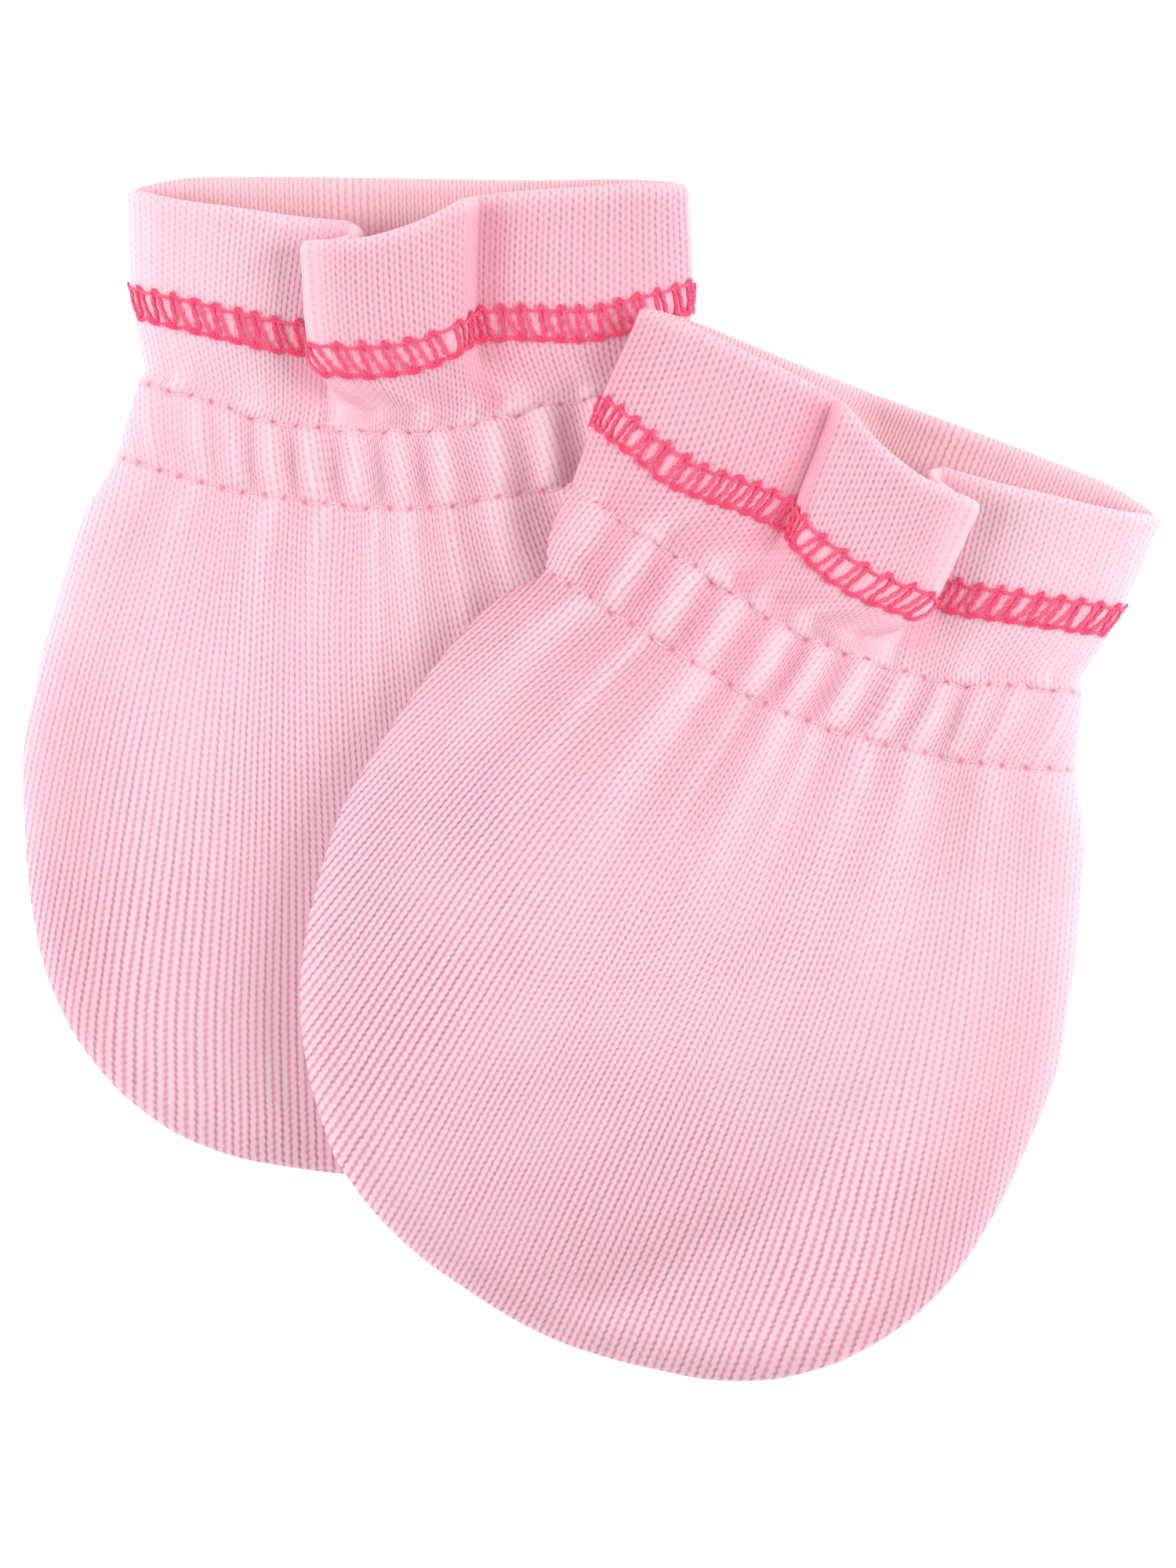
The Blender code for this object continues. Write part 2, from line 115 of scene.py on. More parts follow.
# Lines across the mitten below the hem: both ends, how far the line sags below the straight one at some
# eighths of it, how high the front lies there, how much of the gathers' depth it has, and how far its
# cloth is drawn together under the flap.
LINE_VALUES = "name left_x left_down right_x right_down sag1 sag2 sag4 sag6 sag7 lift gather drawn"
Line = namedtuple("Line", LINE_VALUES)
SAG_AT = (0, 1 / 8, 1 / 4, 1 / 2, 3 / 4, 7 / 8, 1)
LINES = (
    Line("neck", -29.2, 21.4, 31.1, 21.9, 1.9, 3.9, 4.6, 2.2, 1.1, 7.0, 0.7, 1.0),
    Line("upper elastic row", -29.95, 23.1, 31.5, 22.4, 2.2, 4.8, 5.9, 3.1, 1.7, 6.8, 0.85, 1.0),
    Line("elastic", -31.3, 27.5, 31.4, 27.9, 2.3, 4.5, 5.8, 3.2, 1.8, 7.4, 1.0, 0.8),
    Line("lower elastic row", -32.4, 31.4, 30.4, 32.0, 2.4, 4.1, 5.6, 3.3, 1.8, 7.0, 0.9, 0.6),
    Line("below the elastic", -36.05, 38.0, 33.9, 36.7, 2.4, 4.2, 5.7, 3.8, 2.2, 7.4, 0.75, 0.3),
    Line("palm, top", -38.35, 45.1, 37.35, 44.6, 2.2, 4.0, 5.6, 4.0, 2.3, 7.7, 0.45, 0.1),
    Line("palm, upper", -41.2, 55.6, 40.3, 55.9, 2.0, 3.8, 5.2, 3.9, 2.1, 8.1, 0.15, 0.0),
    Line("palm, middle", -42.95, 66.2, 41.9, 66.2, 2.0, 3.8, 5.0, 3.8, 2.0, 8.2, 0.0, 0.0),
    Line("palm, lower", -42.55, 76.7, 41.05, 76.7, 2.3, 4.2, 5.6, 4.2, 2.3, 8.1, 0.0, 0.0),
    Line("fingers, top", -41.05, 86.9, 38.6, 86.4, 3.0, 5.3, 7.0, 5.3, 3.0, 7.8, 0.0, 0.0),
    Line("fingers, middle", -38.3, 94.2, 34.55, 94.1, 3.9, 6.6, 8.6, 6.5, 3.8, 7.5, 0.0, 0.0),
    Line("fingers, low", -36.2, 97.7, 31.95, 97.6, 4.5, 7.3, 9.3, 7.1, 4.4, 7.3, 0.0, 0.0),
    Line("fingertips", -32.35, 102.35, 28.45, 101.65, 5.4, 8.0, 9.8, 7.35, 4.65, 7.3, 0.0, 0.0),
)
# Some shares of the cloth, how far across the mitten each is drawn under the flap, and the share of the
# wales that is passed there.
DRAWN_CLOTH = (0, 0.074, 0.168, 0.262, 0.33, 0.455, 0.515, 0.572, 0.622, 0.66, 0.711, 0.77, 0.849, 0.939, 1)
DRAWN_TO = (0, 0.073, 0.168, 0.256, 0.326, 0.41, 0.454, 0.5, 0.549, 0.588, 0.65, 0.718, 0.822, 0.928, 1)
WALES_PASSED = (0, 0.069, 0.16, 0.257, 0.323, 0.407, 0.473, 0.533, 0.59, 0.63, 0.69, 0.753, 0.842, 0.932, 1)
# Below the hem the front still bulges under the flap: the bulge's middle and reach across it, and its height.
FLAP_MIDDLE = 0.46
FLAP_REACH = 0.09
UNDER_FLAP = 1.3
# The back panel's own rim and hem.
BACK_CUFF = (
    Line("back rim", -30.8, 1.1, 30.7, 0.5, -1.15, -1.1, -0.75, -0.4, -0.45, 0.0, 0.0, 0.0),
    Line("back hem", -30.45, 13.7, 31.35, 13.1, 0.0, 0.0, 0.0, 0.0, 0.0, 0.0, 0.0, 0.0),
)

# The gathers between the hem and the elastic, over the elastic, and below it: each is a place across the
# mitten and a height from -1, a deep valley, to 1, a full ridge.
NECK_GATHERS = (
    (0.0, 0.0), (0.040, -0.3), (0.064, 0.4), (0.123, -0.5), (0.196, 0.5), (0.287, -0.6), (0.317, -0.1),
    (0.337, -0.7), (0.360, 0.3), (0.400, -0.2), (0.433, 0.3), (0.480, -0.3), (0.514, 0.4), (0.560, -0.6),
    (0.604, 0.2), (0.634, -0.6), (0.683, 0.5), (0.786, -0.6), (0.823, 0.4), (0.930, -0.6), (0.951, 0.2),
    (1.0, 0.0),
)
BAND_GATHERS = (
    (0.0, 0.0), (0.024, -0.4), (0.040, 0.3), (0.070, -0.6), (0.127, 0.6), (0.151, -0.3), (0.186, 0.6),
    (0.219, -0.6), (0.253, 0.9), (0.294, -0.9), (0.326, 0.8), (0.370, -1.0), (0.406, 0.9), (0.449, -0.9),
    (0.486, 0.8), (0.526, -1.0), (0.563, 0.9), (0.611, -1.0), (0.661, 0.9), (0.710, -1.0), (0.753, 1.0),
    (0.813, -1.1), (0.851, 0.8), (0.903, -0.9), (0.950, 0.6), (1.0, 0.0),
)
LOW_GATHERS = (
    (0.0, 0.0), (0.055, 0.4), (0.097, -0.5), (0.136, 0.6), (0.207, -0.7), (0.276, 0.8), (0.334, -0.9),
    (0.366, 0.6), (0.420, -0.8), (0.461, 0.7), (0.479, 0.2), (0.517, 0.9), (0.570, -0.9), (0.593, 0.3),
    (0.629, -0.8), (0.676, 1.0), (0.761, -1.0), (0.783, -0.2), (0.800, 0.6), (0.840, -0.7), (0.921, 0.8),
    (0.964, -0.4), (1.0, 0.0),
)

# Valleys have this share of the depth given. Then how sharply the ridges stand out, how much more so above
# the elastic, and how narrow they are, and how near a stitched row one set of gathers passes into the next.
VALLEY_SHARE = 0.8
RIDGE_SHARP = 1.15
NECK_SHARPER = 1.25
RIDGE_NARROW = 2.6
ROW_BLEND = 0.25

# Rows are counted in lines: 0 is the rim, 1 the hem stitching, 2 the neck, and so on to the fingertips. The
# second layer of the hem ends just below its stitching.
HEM_LINE = 1
NECK_LINE = 2
UPPER_ROW = 3
ELASTIC_MIDDLE = 4
LOWER_ROW = 5
LAST_LINE = HEM_LINE + len(LINES)
HEM_END = 1.12
CUFF_HEIGHT = 12.9
# The band's ridges lean: this share of the width for each row below the middle of the elastic.
BAND_LEAN = 0.0235

# ---- the knit

# The visible wales across the band, how soon below it they spread out evenly, and the courses: how many on
# the cuff, and how tall one is under the band, in the palm and past it.
BAND_WALES = 60
DRAWN_FADE = 12.0
HEM_COURSES = 15.4
COURSE_UPPER = 0.83
COURSE_PALM = 0.89
COURSE_LOW = 0.77
PALM_LENGTH = 30.0

# How far the wales lean from upright below the band, in degrees: a row for each distance down, a column for
# each place across.
LEAN_X = (-42, -31, -18.5, -8, 2.5, 12, 20, 28, 36, 42)
LEAN_DOWN = (33, 41.5, 48.6, 55.6, 62.7, 69.7, 77, 84, 91, 98, 104)
LEAN = (
    (-22, -12, -4, 1, 4, 9, 14, 20, 26, 28),
    (-18, -16, -4, 2, 6, 14, 25, 30, 28, 28),
    (-17, -17, -3, 3, 8, 13, 20, 24, 25, 25),
    (-15, -15, -3, 3, 8, 12, 17, 20, 21, 22),
    (-13, -12, -3, 3, 8, 10, 14, 17, 19, 21),
    (-10, -10, -2, 3, 8, 9, 11, 13, 15, 18),
    (-9, -9, -3, 3, 7, 9, 10, 12, 14, 17),
    (-9, -9, -3, 2, 6, 8, 9, 11, 13, 17),
    (-8, -7, -3, 2, 5, 7, 8, 10, 12, 15),
    (0, 1, 0, 2, 4, 6, 7, 9, 11, 13),
    (2, 2, 1, 2, 3, 5, 6, 8, 9, 10),
)

# Soft creases and swells on the front, each along a line from one point to another, with its width, and its
# height, which is negative for a trough. They begin below the neck.
Crease = namedtuple("Crease", "name from_x from_down to_x to_down width height")
CREASES = (
    Crease("from the band, far left", -27.5, 36.0, -33.0, 52.0, 2.6, -0.35),
    Crease("from the band, left", -19.0, 37.5, -21.0, 55.0, 2.2, -0.40),
    Crease("from the band, left of middle", -9.5, 39.0, -8.6, 57.0, 2.4, -0.35),
    Crease("from the band, middle", 0.5, 39.3, 2.6, 53.0, 2.0, -0.38),
    Crease("from the band, right", 9.5, 38.0, 13.0, 52.0, 2.2, -0.40),
    Crease("from the band, far right", 20.0, 36.0, 26.0, 49.0, 2.4, -0.34),
    Crease("swell of the palm", -24.0, 62.0, 22.0, 66.0, 16.0, 0.35),
    Crease("dip across the palm", -30.0, 82.0, 8.0, 78.0, 9.0, -0.28),
    Crease("low dent, right", 16.0, 84.0, 30.0, 74.0, 7.0, -0.24),
)
CREASES_BEGIN = 2.2

# What the fine cloth adds to the panel's form, each with its middle row, its width in rows and its
# height: the gathers' ridges puff up above, over and below the band, and the stitches lie in troughs.
BAND_PUFF = 0.52
PUFFS = ((2.45, 0.5, 0.62), (5.6, 0.7, 0.40))
TROUGHS = ((UPPER_ROW, 0.16, -0.22), (LOWER_ROW, 0.16, -0.22), (0.62, 0.16, 0.16), (HEM_LINE, 0.18, -0.14))
RIDGE_FOOT = 0.3

# Patches round the flap where shade or light is painted into the cloth: its mark there and how strong, its
# middle and width as shares of the cloth and how square it is, and the rows where it begins and ends, with
# how long each change takes.
Patch = namedtuple("Patch", "name mark strength middle width square begins rising ends fading")
PATCHES = (
    Patch("valley beside the flap", "painted_shade", 1.0, 0.718, 0.026, 2, -1, 1, 3.0, 1.2),
    Patch("shade left of the flap", "painted_shade", 0.65, 0.315, 0.040, 2, -1, 1, 2.4, 0.8),
    Patch("valley beside the flap", "painted_bounce_light", 0.8, 0.690, 0.018, 2, -1, 1, 2.0, 0.8),
    Patch("left of the flap", "painted_bounce_light", 0.55, 0.318, 0.034, 2, -1, 1, 2.2, 0.8),
    Patch("under the flap", "painted_bounce_light", 0.75, 0.44, 0.07, 4, 1.15, 0.3, 3.0, 0.8),
    Patch("stretched over the fold", "painted_light", 1.5, 0.415, 0.065, 4, -1, 1, 3.1, 0.5),
    Patch("fan under the flap", "painted_light", 0.5, 0.52, 0.10, 4, 1.05, 0.2, 2.9, 0.6),
)

# Real distances in millimetres: between the wanders of the loops, between soft blotches, and between the
# fibres of the cloth's fuzz and of the thread's.
LOOP_WANDER = 1.0526
BLOTCH = 14.286
FUZZ = 0.2381
THREAD_FUZZ = 0.3846

# What the cloth's look depends on at each point, in the order that the material reads them: painted shade,
# painted highlight, stretch (which also paints shade on the left), painted light, the cuff and painted bounce
# light. Each mark runs from 0 to 1, and only the painted light goes past it.
MARKS = ("painted_shade", "painted_highlight", "open_and_shade", "painted_light", "cuff", "painted_bounce_light")

# ---- how finely the pieces are divided

# Stretches of rows: from, to, and how many. A stitched row has rows of its own: their reach and how many.
RIM_END = ROLL / CUFF_HEIGHT
FRONT_STRETCHES = (
    (RIM_END, 1, 25), (1, HEM_END, 4), (HEM_END, 2, 14), (2, 2.72, 8), (3.32, 4.72, 13), (5.26, 7, 24),
    (7, 12, 58), (12, 13.4, 12), (13.4, 13.9, 7),
)
BACK_STRETCHES = ((RIM_END, HEM_END, 26), (HEM_END, 13.4, 74), (13.4, 13.9, 6))
STITCHED_ROWS = ((UPPER_ROW, 0.24, 9), (LOWER_ROW, 0.2, 9))
TIP_ROWS = [13.9, 13.95, 13.98, 13.994, 14.0]
# Columns at the seam, where the ones across the middle begin, and how many of those there are.
SEAM_COLUMNS = [0, 0.0012, 0.003, 0.006, 0.0105, 0.016]
SEAM_END = 0.022
FRONT_COLUMNS = 222
BACK_COLUMNS = 130
# Points that are measured at a time.
CHUNK = 200

# ---- the stitches

# The hem's cover stitch: the length of a stitch, on the flap, and where the fold crowds them. Then how
# far the loops lean, the radius of the looper and needle threads, and how the looper's two plies wind.
HEM_PITCH = 2.3
HEM_FLAP = 2.8
HEM_CROWDED = 1.5
HEM_LEAN = 0.30
HEM_LEAN_FLAP = 0.42
HEM_THREAD = 0.16
HEM_NEEDLE = 0.18
PLY_APART = 0.13
PLY_TURN = 2.6
# The stitches go out of sight at the tuck: this much past its start, and this much before its end, as
# shares of the cloth. The flap's long ones end at its edge, and the crowded ones fill the last stretch
# before the fold.
TUCK_HIDES = 0.012
TUCK_SHOWS = 0.045
FLAP_EDGE = 0.66
CROWD_LENGTH = 2.6
# How many sides a thread and a fibre have, how far a thread tapers at its tips, and how flat it lies.
THREAD_SIDES = 8
FIBRE_SIDES = 3
THREAD_TIP = 0.35
THREAD_FLAT = 0.85
# Fibres at each point of a fluffy thread, the radius of one, and its length.
FIBRES = 2
FIBRE = 0.022
FIBRE_LENGTH = 0.55
# The straight stitches that hold the elastic: their length and radius, and the pit in the cloth at each
# end.
ELASTIC_PITCH = 2.6
ELASTIC_THREAD = 0.105
PIT_LENGTH = 0.30
PIT_WIDTH = 0.32


def curve_through(at, knots, values):
    """A smooth curve through the values at the knots, with no overshoot, read at `at`.

    Values run along axis 0.
    """
    at = np.clip(np.asarray(at, float), knots[0], knots[-1])
    knots = np.asarray(knots, float)
    values = np.asarray(values, float)
    step = np.diff(knots).reshape((-1,) + (1,) * (values.ndim - 1))
    rise = np.diff(values, axis=0) / step
    before, after = rise[:-1], rise[1:]
    turning = before * after <= 0
    weight_before = 2 * step[1:] + step[:-1]
    weight_after = step[1:] + 2 * step[:-1]
    safe_before = np.where(turning, 1, before)
    safe_after = np.where(turning, 1, after)
    inner = (weight_before + weight_after) / (weight_before / safe_before + weight_after / safe_after)
    first = end_slope(step[0], step[1], rise[0], rise[1])
    last = end_slope(step[-1], step[-2], rise[-1], rise[-2])
    slope = np.concatenate([first[None], np.where(turning, 0, inner), last[None]])
    cell = np.clip(np.searchsorted(knots, at, side="right") - 1, 0, len(knots) - 2)
    width = np.diff(knots)[cell]
    share = ((at - knots[cell]) / width).reshape((-1,) + (1,) * (values.ndim - 1))
    width = width.reshape(share.shape)
    keep = (1 + 2 * share) * (1 - share) ** 2
    leave = share * (1 - share) ** 2
    return (
        keep * values[cell]
        + leave * width * slope[cell]
        + (1 - keep) * values[cell + 1]
        - share**2 * (1 - share) * width * slope[cell + 1]
    )


def end_slope(near, far, rise_near, rise_far):
    """The slope at the end of such a curve, from its last two stretches."""
    slope = ((2 * near + far) * rise_near - near * rise_far) / (near + far)
    return np.where(slope * rise_near <= 0, 0, np.clip(slope, -3 * abs(rise_near), 3 * abs(rise_near)))


def near(value, middle, width, square=2):
    """1 at the middle, and falling off smoothly to nothing about two widths away."""
    return np.exp(-(((value - middle) / width) ** square))


def length_along(path):
    """The length reached at each point of a path, or of each column of a grid of points."""
    steps = np.linalg.norm(np.diff(path, axis=0), axis=-1)
    return np.concatenate([np.zeros((1,) + steps.shape[1:]), np.cumsum(steps, axis=0)])


def unit(vectors):
    return vectors / np.maximum(np.linalg.norm(vectors, axis=-1, keepdims=True), 1e-9)


def read_table(table, row, column):
    """Values of a table between its own rows and columns."""
    left = np.minimum(column.astype(int), table.shape[1] - 2)
    top = np.minimum(row.astype(int), table.shape[0] - 2)
    past = (...,) + (None,) * (table.ndim - 2)
    right, low = (column - left)[past], (row - top)[past]
    upper = table[top, left] * (1 - right) + table[top, left + 1] * right
    lower = table[top + 1, left] * (1 - right) + table[top + 1, left + 1] * right
    return upper * (1 - low) + lower * low


def drawn_place(cloth, drawn):
    """How far across the mitten each part of the cloth lies, where it is drawn together under the flap."""
    return cloth + drawn * (curve_through(cloth, DRAWN_CLOTH, DRAWN_TO) - cloth)


def line_points(line, cloth):
    """Points x, down, lift along one line across the mitten."""
    across = drawn_place(cloth, line.drawn)
    sag = curve_through(across, SAG_AT, (0, line.sag1, line.sag2, line.sag4, line.sag6, line.sag7, 0))
    x = line.left_x + (line.right_x - line.left_x) * across
    down = line.left_down + (line.right_down - line.left_down) * across + sag
    bulge = near(across, FLAP_MIDDLE, FLAP_REACH) * UNDER_FLAP * (line.name == "neck")
    return np.stack([x, down, line.lift + bulge], axis=1)


def cuff_points(cloth):
    """The front cuff's rim and hem lines, through the folds on each side of the tuck."""
    sides = (FOLDS[: TUCK_START + 1], FOLDS[TUCK_END:])
    middle = (FOLDS[TUCK_START].cloth + FOLDS[TUCK_END].cloth) / 2
    lines = []
    for edge in ("rim", "hem"):
        curves = []
        for folds in sides:
            knots = [fold.cloth for fold in folds]
            places = [[getattr(fold, edge + way) for way in ("_x", "_down", "_lift")] for fold in folds]
            curves.append(curve_through(cloth, knots, places))
        lines.append(np.where((cloth < middle)[:, None], *curves))
    return lines


def lofted(first_lines, cloth, rows, below=LINES):
    """Points x, down, lift of a panel, rows by columns."""
    lines = first_lines + [line_points(line, cloth) for line in below]
    return curve_through(rows, range(len(lines)), np.array(lines))


def tucked(points, cloth, rows):
    """Takes each row of the cuff through the tuck: a bend to the left, a straight stretch, a bend back.

    Towards the elastic the tuck opens, until the cloth lies straight there.
    """
    first, last = FOLDS[TUCK_START].cloth, FOLDS[TUCK_END].cloth
    inside = (cloth > first) & (cloth < last)
    share = (cloth[inside] - first) / (last - first)
    ends = lofted(cuff_points(np.array([first, last])), np.array([first, last]), rows)
    for row in np.flatnonzero(rows < NECK_LINE + 1):
        start, end = ends[row]
        across, down, up = end - start
        # The bends are never so wide that no straight stretch is left between them.
        bend = min(TUCK_BEND, 0.98 * (across**2 + up**2) / (4 * max(up, 0.1)))
        centres = math.hypot(across, up - 2 * bend)
        turn = math.atan2(up - 2 * bend, across) + math.asin(2 * bend / centres)
        straight = math.sqrt(centres**2 - 4 * bend**2)
        length = 2 * bend * turn + straight
        along = share * length
        back = length - along
        first_bend = along < bend * turn
        last_bend = back < bend * turn
        on = along - bend * turn
        x = bend * math.sin(turn) + on * math.cos(turn)
        z = bend * (1 - math.cos(turn)) + on * math.sin(turn)
        x = np.where(first_bend, bend * np.sin(along / bend), x)
        z = np.where(first_bend, bend * (1 - np.cos(along / bend)), z)
        x = np.where(last_bend, across - bend * np.sin(back / bend), x)
        z = np.where(last_bend, up - bend * (1 - np.cos(back / bend)), z)
        sunk = down * (share + TUCK_SINK * np.sin(math.pi * share))
        points[row, inside] = start + np.stack([x, sunk, z], axis=1)
    return points


def seam_line():
    """The side seam from the left of the rim round the fingertips to the right of the rim."""
    rows = np.linspace(0, LAST_LINE, 241)
    across = np.linspace(0, 1, 121)
    ends = np.array([0.0, 1.0])
    sides = lofted([line_points(line, ends) for line in BACK_CUFF], ends, rows)
    tips = line_points(LINES[-1], across)
    return np.concatenate([sides[:, 0, :2], tips[1:-1, :2], sides[::-1, 1, :2]])


def by_chunks(points, measure):
    """What is measured at each point, worked out for some at a time, so that memory holds out."""
    return np.concatenate([measure(points[at : at + CHUNK]) for at in range(0, len(points), CHUNK)])


def distance_to_seam(points):
    """How far each point x, down lies from the side seam."""
    seam = seam_line()
    start, way = seam[:-1], np.diff(seam, axis=0)
    length = (way**2).sum(axis=1)
    flat = points[..., :2].reshape(-1, 2)

    def nearest(some):
        some = some[:, None] - start
        share = np.clip((some * way).sum(axis=2) / length, 0, 1)
        return np.sqrt(((some - share[..., None] * way) ** 2).sum(axis=2).min(axis=1))

    return by_chunks(flat, nearest).reshape(points.shape[:-1])


def quarter_round(distance, reach):
    """0 at the seam, rising steeply at first, and 1 from `reach` on."""
    return np.sqrt(1 - (1 - np.clip(distance / reach, 0, 1)) ** 2)


def rising(value, start, over):
    """0 up to the start, and from there smoothly up to 1 over this distance."""
    share = np.clip((value - start) / over, 0, 1)
    return share * share * (3 - 2 * share)


def falling(value, end, over):
    """1 at first, and smoothly down to 0 at the end, over this distance."""
    return rising(-value, -end, over)


def wall_at(rows):
    """The cloth's thickness in each row: two layers in the hem, which rolls round at the rim."""
    plain = HEM_WALL + (WALL - HEM_WALL) * rising(rows, HEM_LINE, HEM_END - HEM_LINE)
    away = rows * CUFF_HEIGHT
    rolled = 2 * np.sqrt(np.maximum(ROLL**2 - (ROLL - np.minimum(away, ROLL)) ** 2, 0))
    past = 2 * ROLL + (plain - 2 * ROLL) * rising(away, ROLL, ROLL_END - ROLL)
    return np.where(away < ROLL, np.maximum(rolled, THINNEST), past)


def over_rows(rows, value):
    """One of the lines' values at each row of a panel, and 0 on the cuff."""
    values = [0.0, 0.0] + [getattr(line, value) for line in LINES]
    return curve_through(rows, range(len(values)), values)[:, None]


def gather_wave(cloth, rows):
    """The gathers' height at each point, from -1 to 1: narrow ridges and wider valleys."""
    across = drawn_place(cloth, over_rows(rows, "drawn"))
    waves = []
    band_down = np.clip(rows - ELASTIC_MIDDLE, -1, 1)[:, None]
    for gathers, lean in ((NECK_GATHERS, 0.0), (BAND_GATHERS, BAND_LEAN), (LOW_GATHERS, 0.0)):
        places = (across - lean * band_down).ravel()
        wave = curve_through(places, [place for place, _ in gathers], [height for _, height in gathers])
        waves.append(wave.reshape(across.shape))
    band = rising(rows - UPPER_ROW, -ROW_BLEND, 2 * ROW_BLEND)[:, None]
    low = rising(rows - LOWER_ROW, -ROW_BLEND, 2 * ROW_BLEND)[:, None]
    wave = waves[0] * (1 - band) + waves[1] * (band - low) + waves[2] * low
    return np.where(wave > 0, wave, VALLEY_SHARE * wave)


def ridges(cloth, rows):
    """The gathers as narrow ridges: 1 along their tops, and 0 over the wide valleys between them."""
    sharper = RIDGE_SHARP + NECK_SHARPER * falling(rows, UPPER_ROW, 0.3)[:, None]
    return np.clip((1 + gather_wave(cloth, rows) * sharper) / 2, 0, 1) ** RIDGE_NARROW


def front_form(cloth, rows):
    """The middle of the front panel's cloth: x, down, height."""
    points = tucked(lofted(cuff_points(cloth), cloth, rows), cloth, rows)
    distance = distance_to_seam(points)
    in_palm = rising(rows, LOWER_ROW, 2)[:, None]
    crown = 1 - CROWN_SHARE * in_palm * (1 - rising(distance, 0, CROWN_REACH))
    foot = SEAM_HEIGHT - SEAM_LAP / 2
    gather = over_rows(rows, "gather") * GATHER_DEPTH * gather_wave(cloth, rows)
    lift = (points[..., 2] - foot) * crown + gather + relief(points, cloth, rows)
    points[..., 2] = foot + lift * quarter_round(distance, FRONT_SHOULDER)
    return points


def back_form(cloth, rows):
    """The middle of the back panel's cloth: flat, and turned up to the seam at its edge."""
    straight = [line._replace(drawn=0.0) for line in LINES]
    points = lofted([line_points(line, cloth) for line in BACK_CUFF], cloth, rows, straight)
    flat = wall_at(rows)[:, None] / 2
    top = SEAM_HEIGHT + SEAM_LAP / 2
    turned_up = 1 - quarter_round(distance_to_seam(points), BACK_SHOULDER)
    points[..., 2] = flat + (top - flat) * turned_up
    return points


def relief(points, cloth, rows):
    """What the fine cloth adds to the panel's form: puffed gathers, stitched troughs and soft creases."""
    x, down = points[..., 0], points[..., 1]
    ridge = ridges(cloth, rows) - RIDGE_FOOT
    rows = rows[:, None]
    height = BAND_PUFF * np.clip(1 - (rows - ELASTIC_MIDDLE) ** 2, 0, 1) * ridge
    for middle, width, rise in PUFFS:
        height += rise * near(rows, middle, width) * ridge
    for middle, width, rise in TROUGHS:
        height += rise * near(rows, middle, width)
    for crease in CREASES:
        way = np.array([crease.to_x - crease.from_x, crease.to_down - crease.from_down])
        length = math.hypot(*way)
        way = way / length
        along = ((x - crease.from_x) * way[0] + (down - crease.from_down) * way[1]) / length
        across = (x - crease.from_x) * -way[1] + (down - crease.from_down) * way[0]
        ends = np.clip(1 - (2 * along - 1) ** 2, 0, 1) ** 1.2
        height += crease.height * ends * near(across, 0, crease.width) * (rows > CREASES_BEGIN)
    return height


def placed(points, mirrored, turn, place):
    """Points x, down, height of a mitten, moved to where it lies."""
    x = -points[..., 0] if mirrored else points[..., 0]
    y = MIDDLE_DOWN - points[..., 1]
    turned_x = x * math.cos(turn) - y * math.sin(turn) + place[0]
    turned_y = x * math.sin(turn) + y * math.cos(turn) + place[1]
    return np.stack([turned_x, turned_y, points[..., 2]], axis=-1)


def under_placed(points):
    return placed(points, False, 0.0, UNDER_PLACE)


def over_placed(points):
    """The mirrored mitten, laid over the other: it bends down to the surface beyond the one below."""
    points = placed(points, True, OVER_TURN, OVER_PLACE)
    points[..., 2] += lap_height(points)
    return points


lap_table = {}


def lap_height(points):
    """The height of what the top mitten lies on, read from a table over the whole surface."""
    if not lap_table:
        cloth = np.linspace(0, 1, 100)
        rows = np.linspace(0, LAST_LINE, 120)
        below = under_placed(front_form(cloth, rows)).reshape(-1, 3)
        top = below[:, 2] + WALL / 2 + LAP_CLEARANCE
        across = np.arange(*LAP_ACROSS, LAP_STEP)
        along = np.arange(*LAP_ALONG, LAP_STEP)
        grid = np.stack(np.meshgrid(across, along), axis=-1).reshape(-1, 2)

        def highest(some):
            away = ((some[:, None] - below[:, :2]) ** 2).sum(axis=2)
            return (top - away / (2 * LAP_BEND)).max(axis=1)

        lap_table["height"] = by_chunks(grid, highest).reshape(len(along), len(across))
        lap_table["corner"] = across[0], along[0]
    table, corner = lap_table["height"], lap_table["corner"]
    column = np.clip((points[..., 0] - corner[0]) / LAP_STEP, 0, table.shape[1] - 1.001)
    row = np.clip((points[..., 1] - corner[1]) / LAP_STEP, 0, table.shape[0] - 1.001)
    height = read_table(table, row, column)
    foot = (np.clip(height, -LAP_FOOT, LAP_FOOT) + LAP_FOOT) ** 2 / (4 * LAP_FOOT)
    return np.where(height > LAP_FOOT, height, foot)


# ---- wales and courses


def lean_at(x, down):
    """The wales' lean at each point, as a tangent."""
    column = np.interp(x, LEAN_X, np.arange(len(LEAN_X)))
    row = np.interp(down, LEAN_DOWN, np.arange(len(LEAN_DOWN)))
    return read_table(np.tan(np.radians(LEAN)), row, column)


def at_line(line, rows, values):
    """The values of each column where it crosses a line."""
    return np.array([np.interp(line, rows, column) for column in values.T])


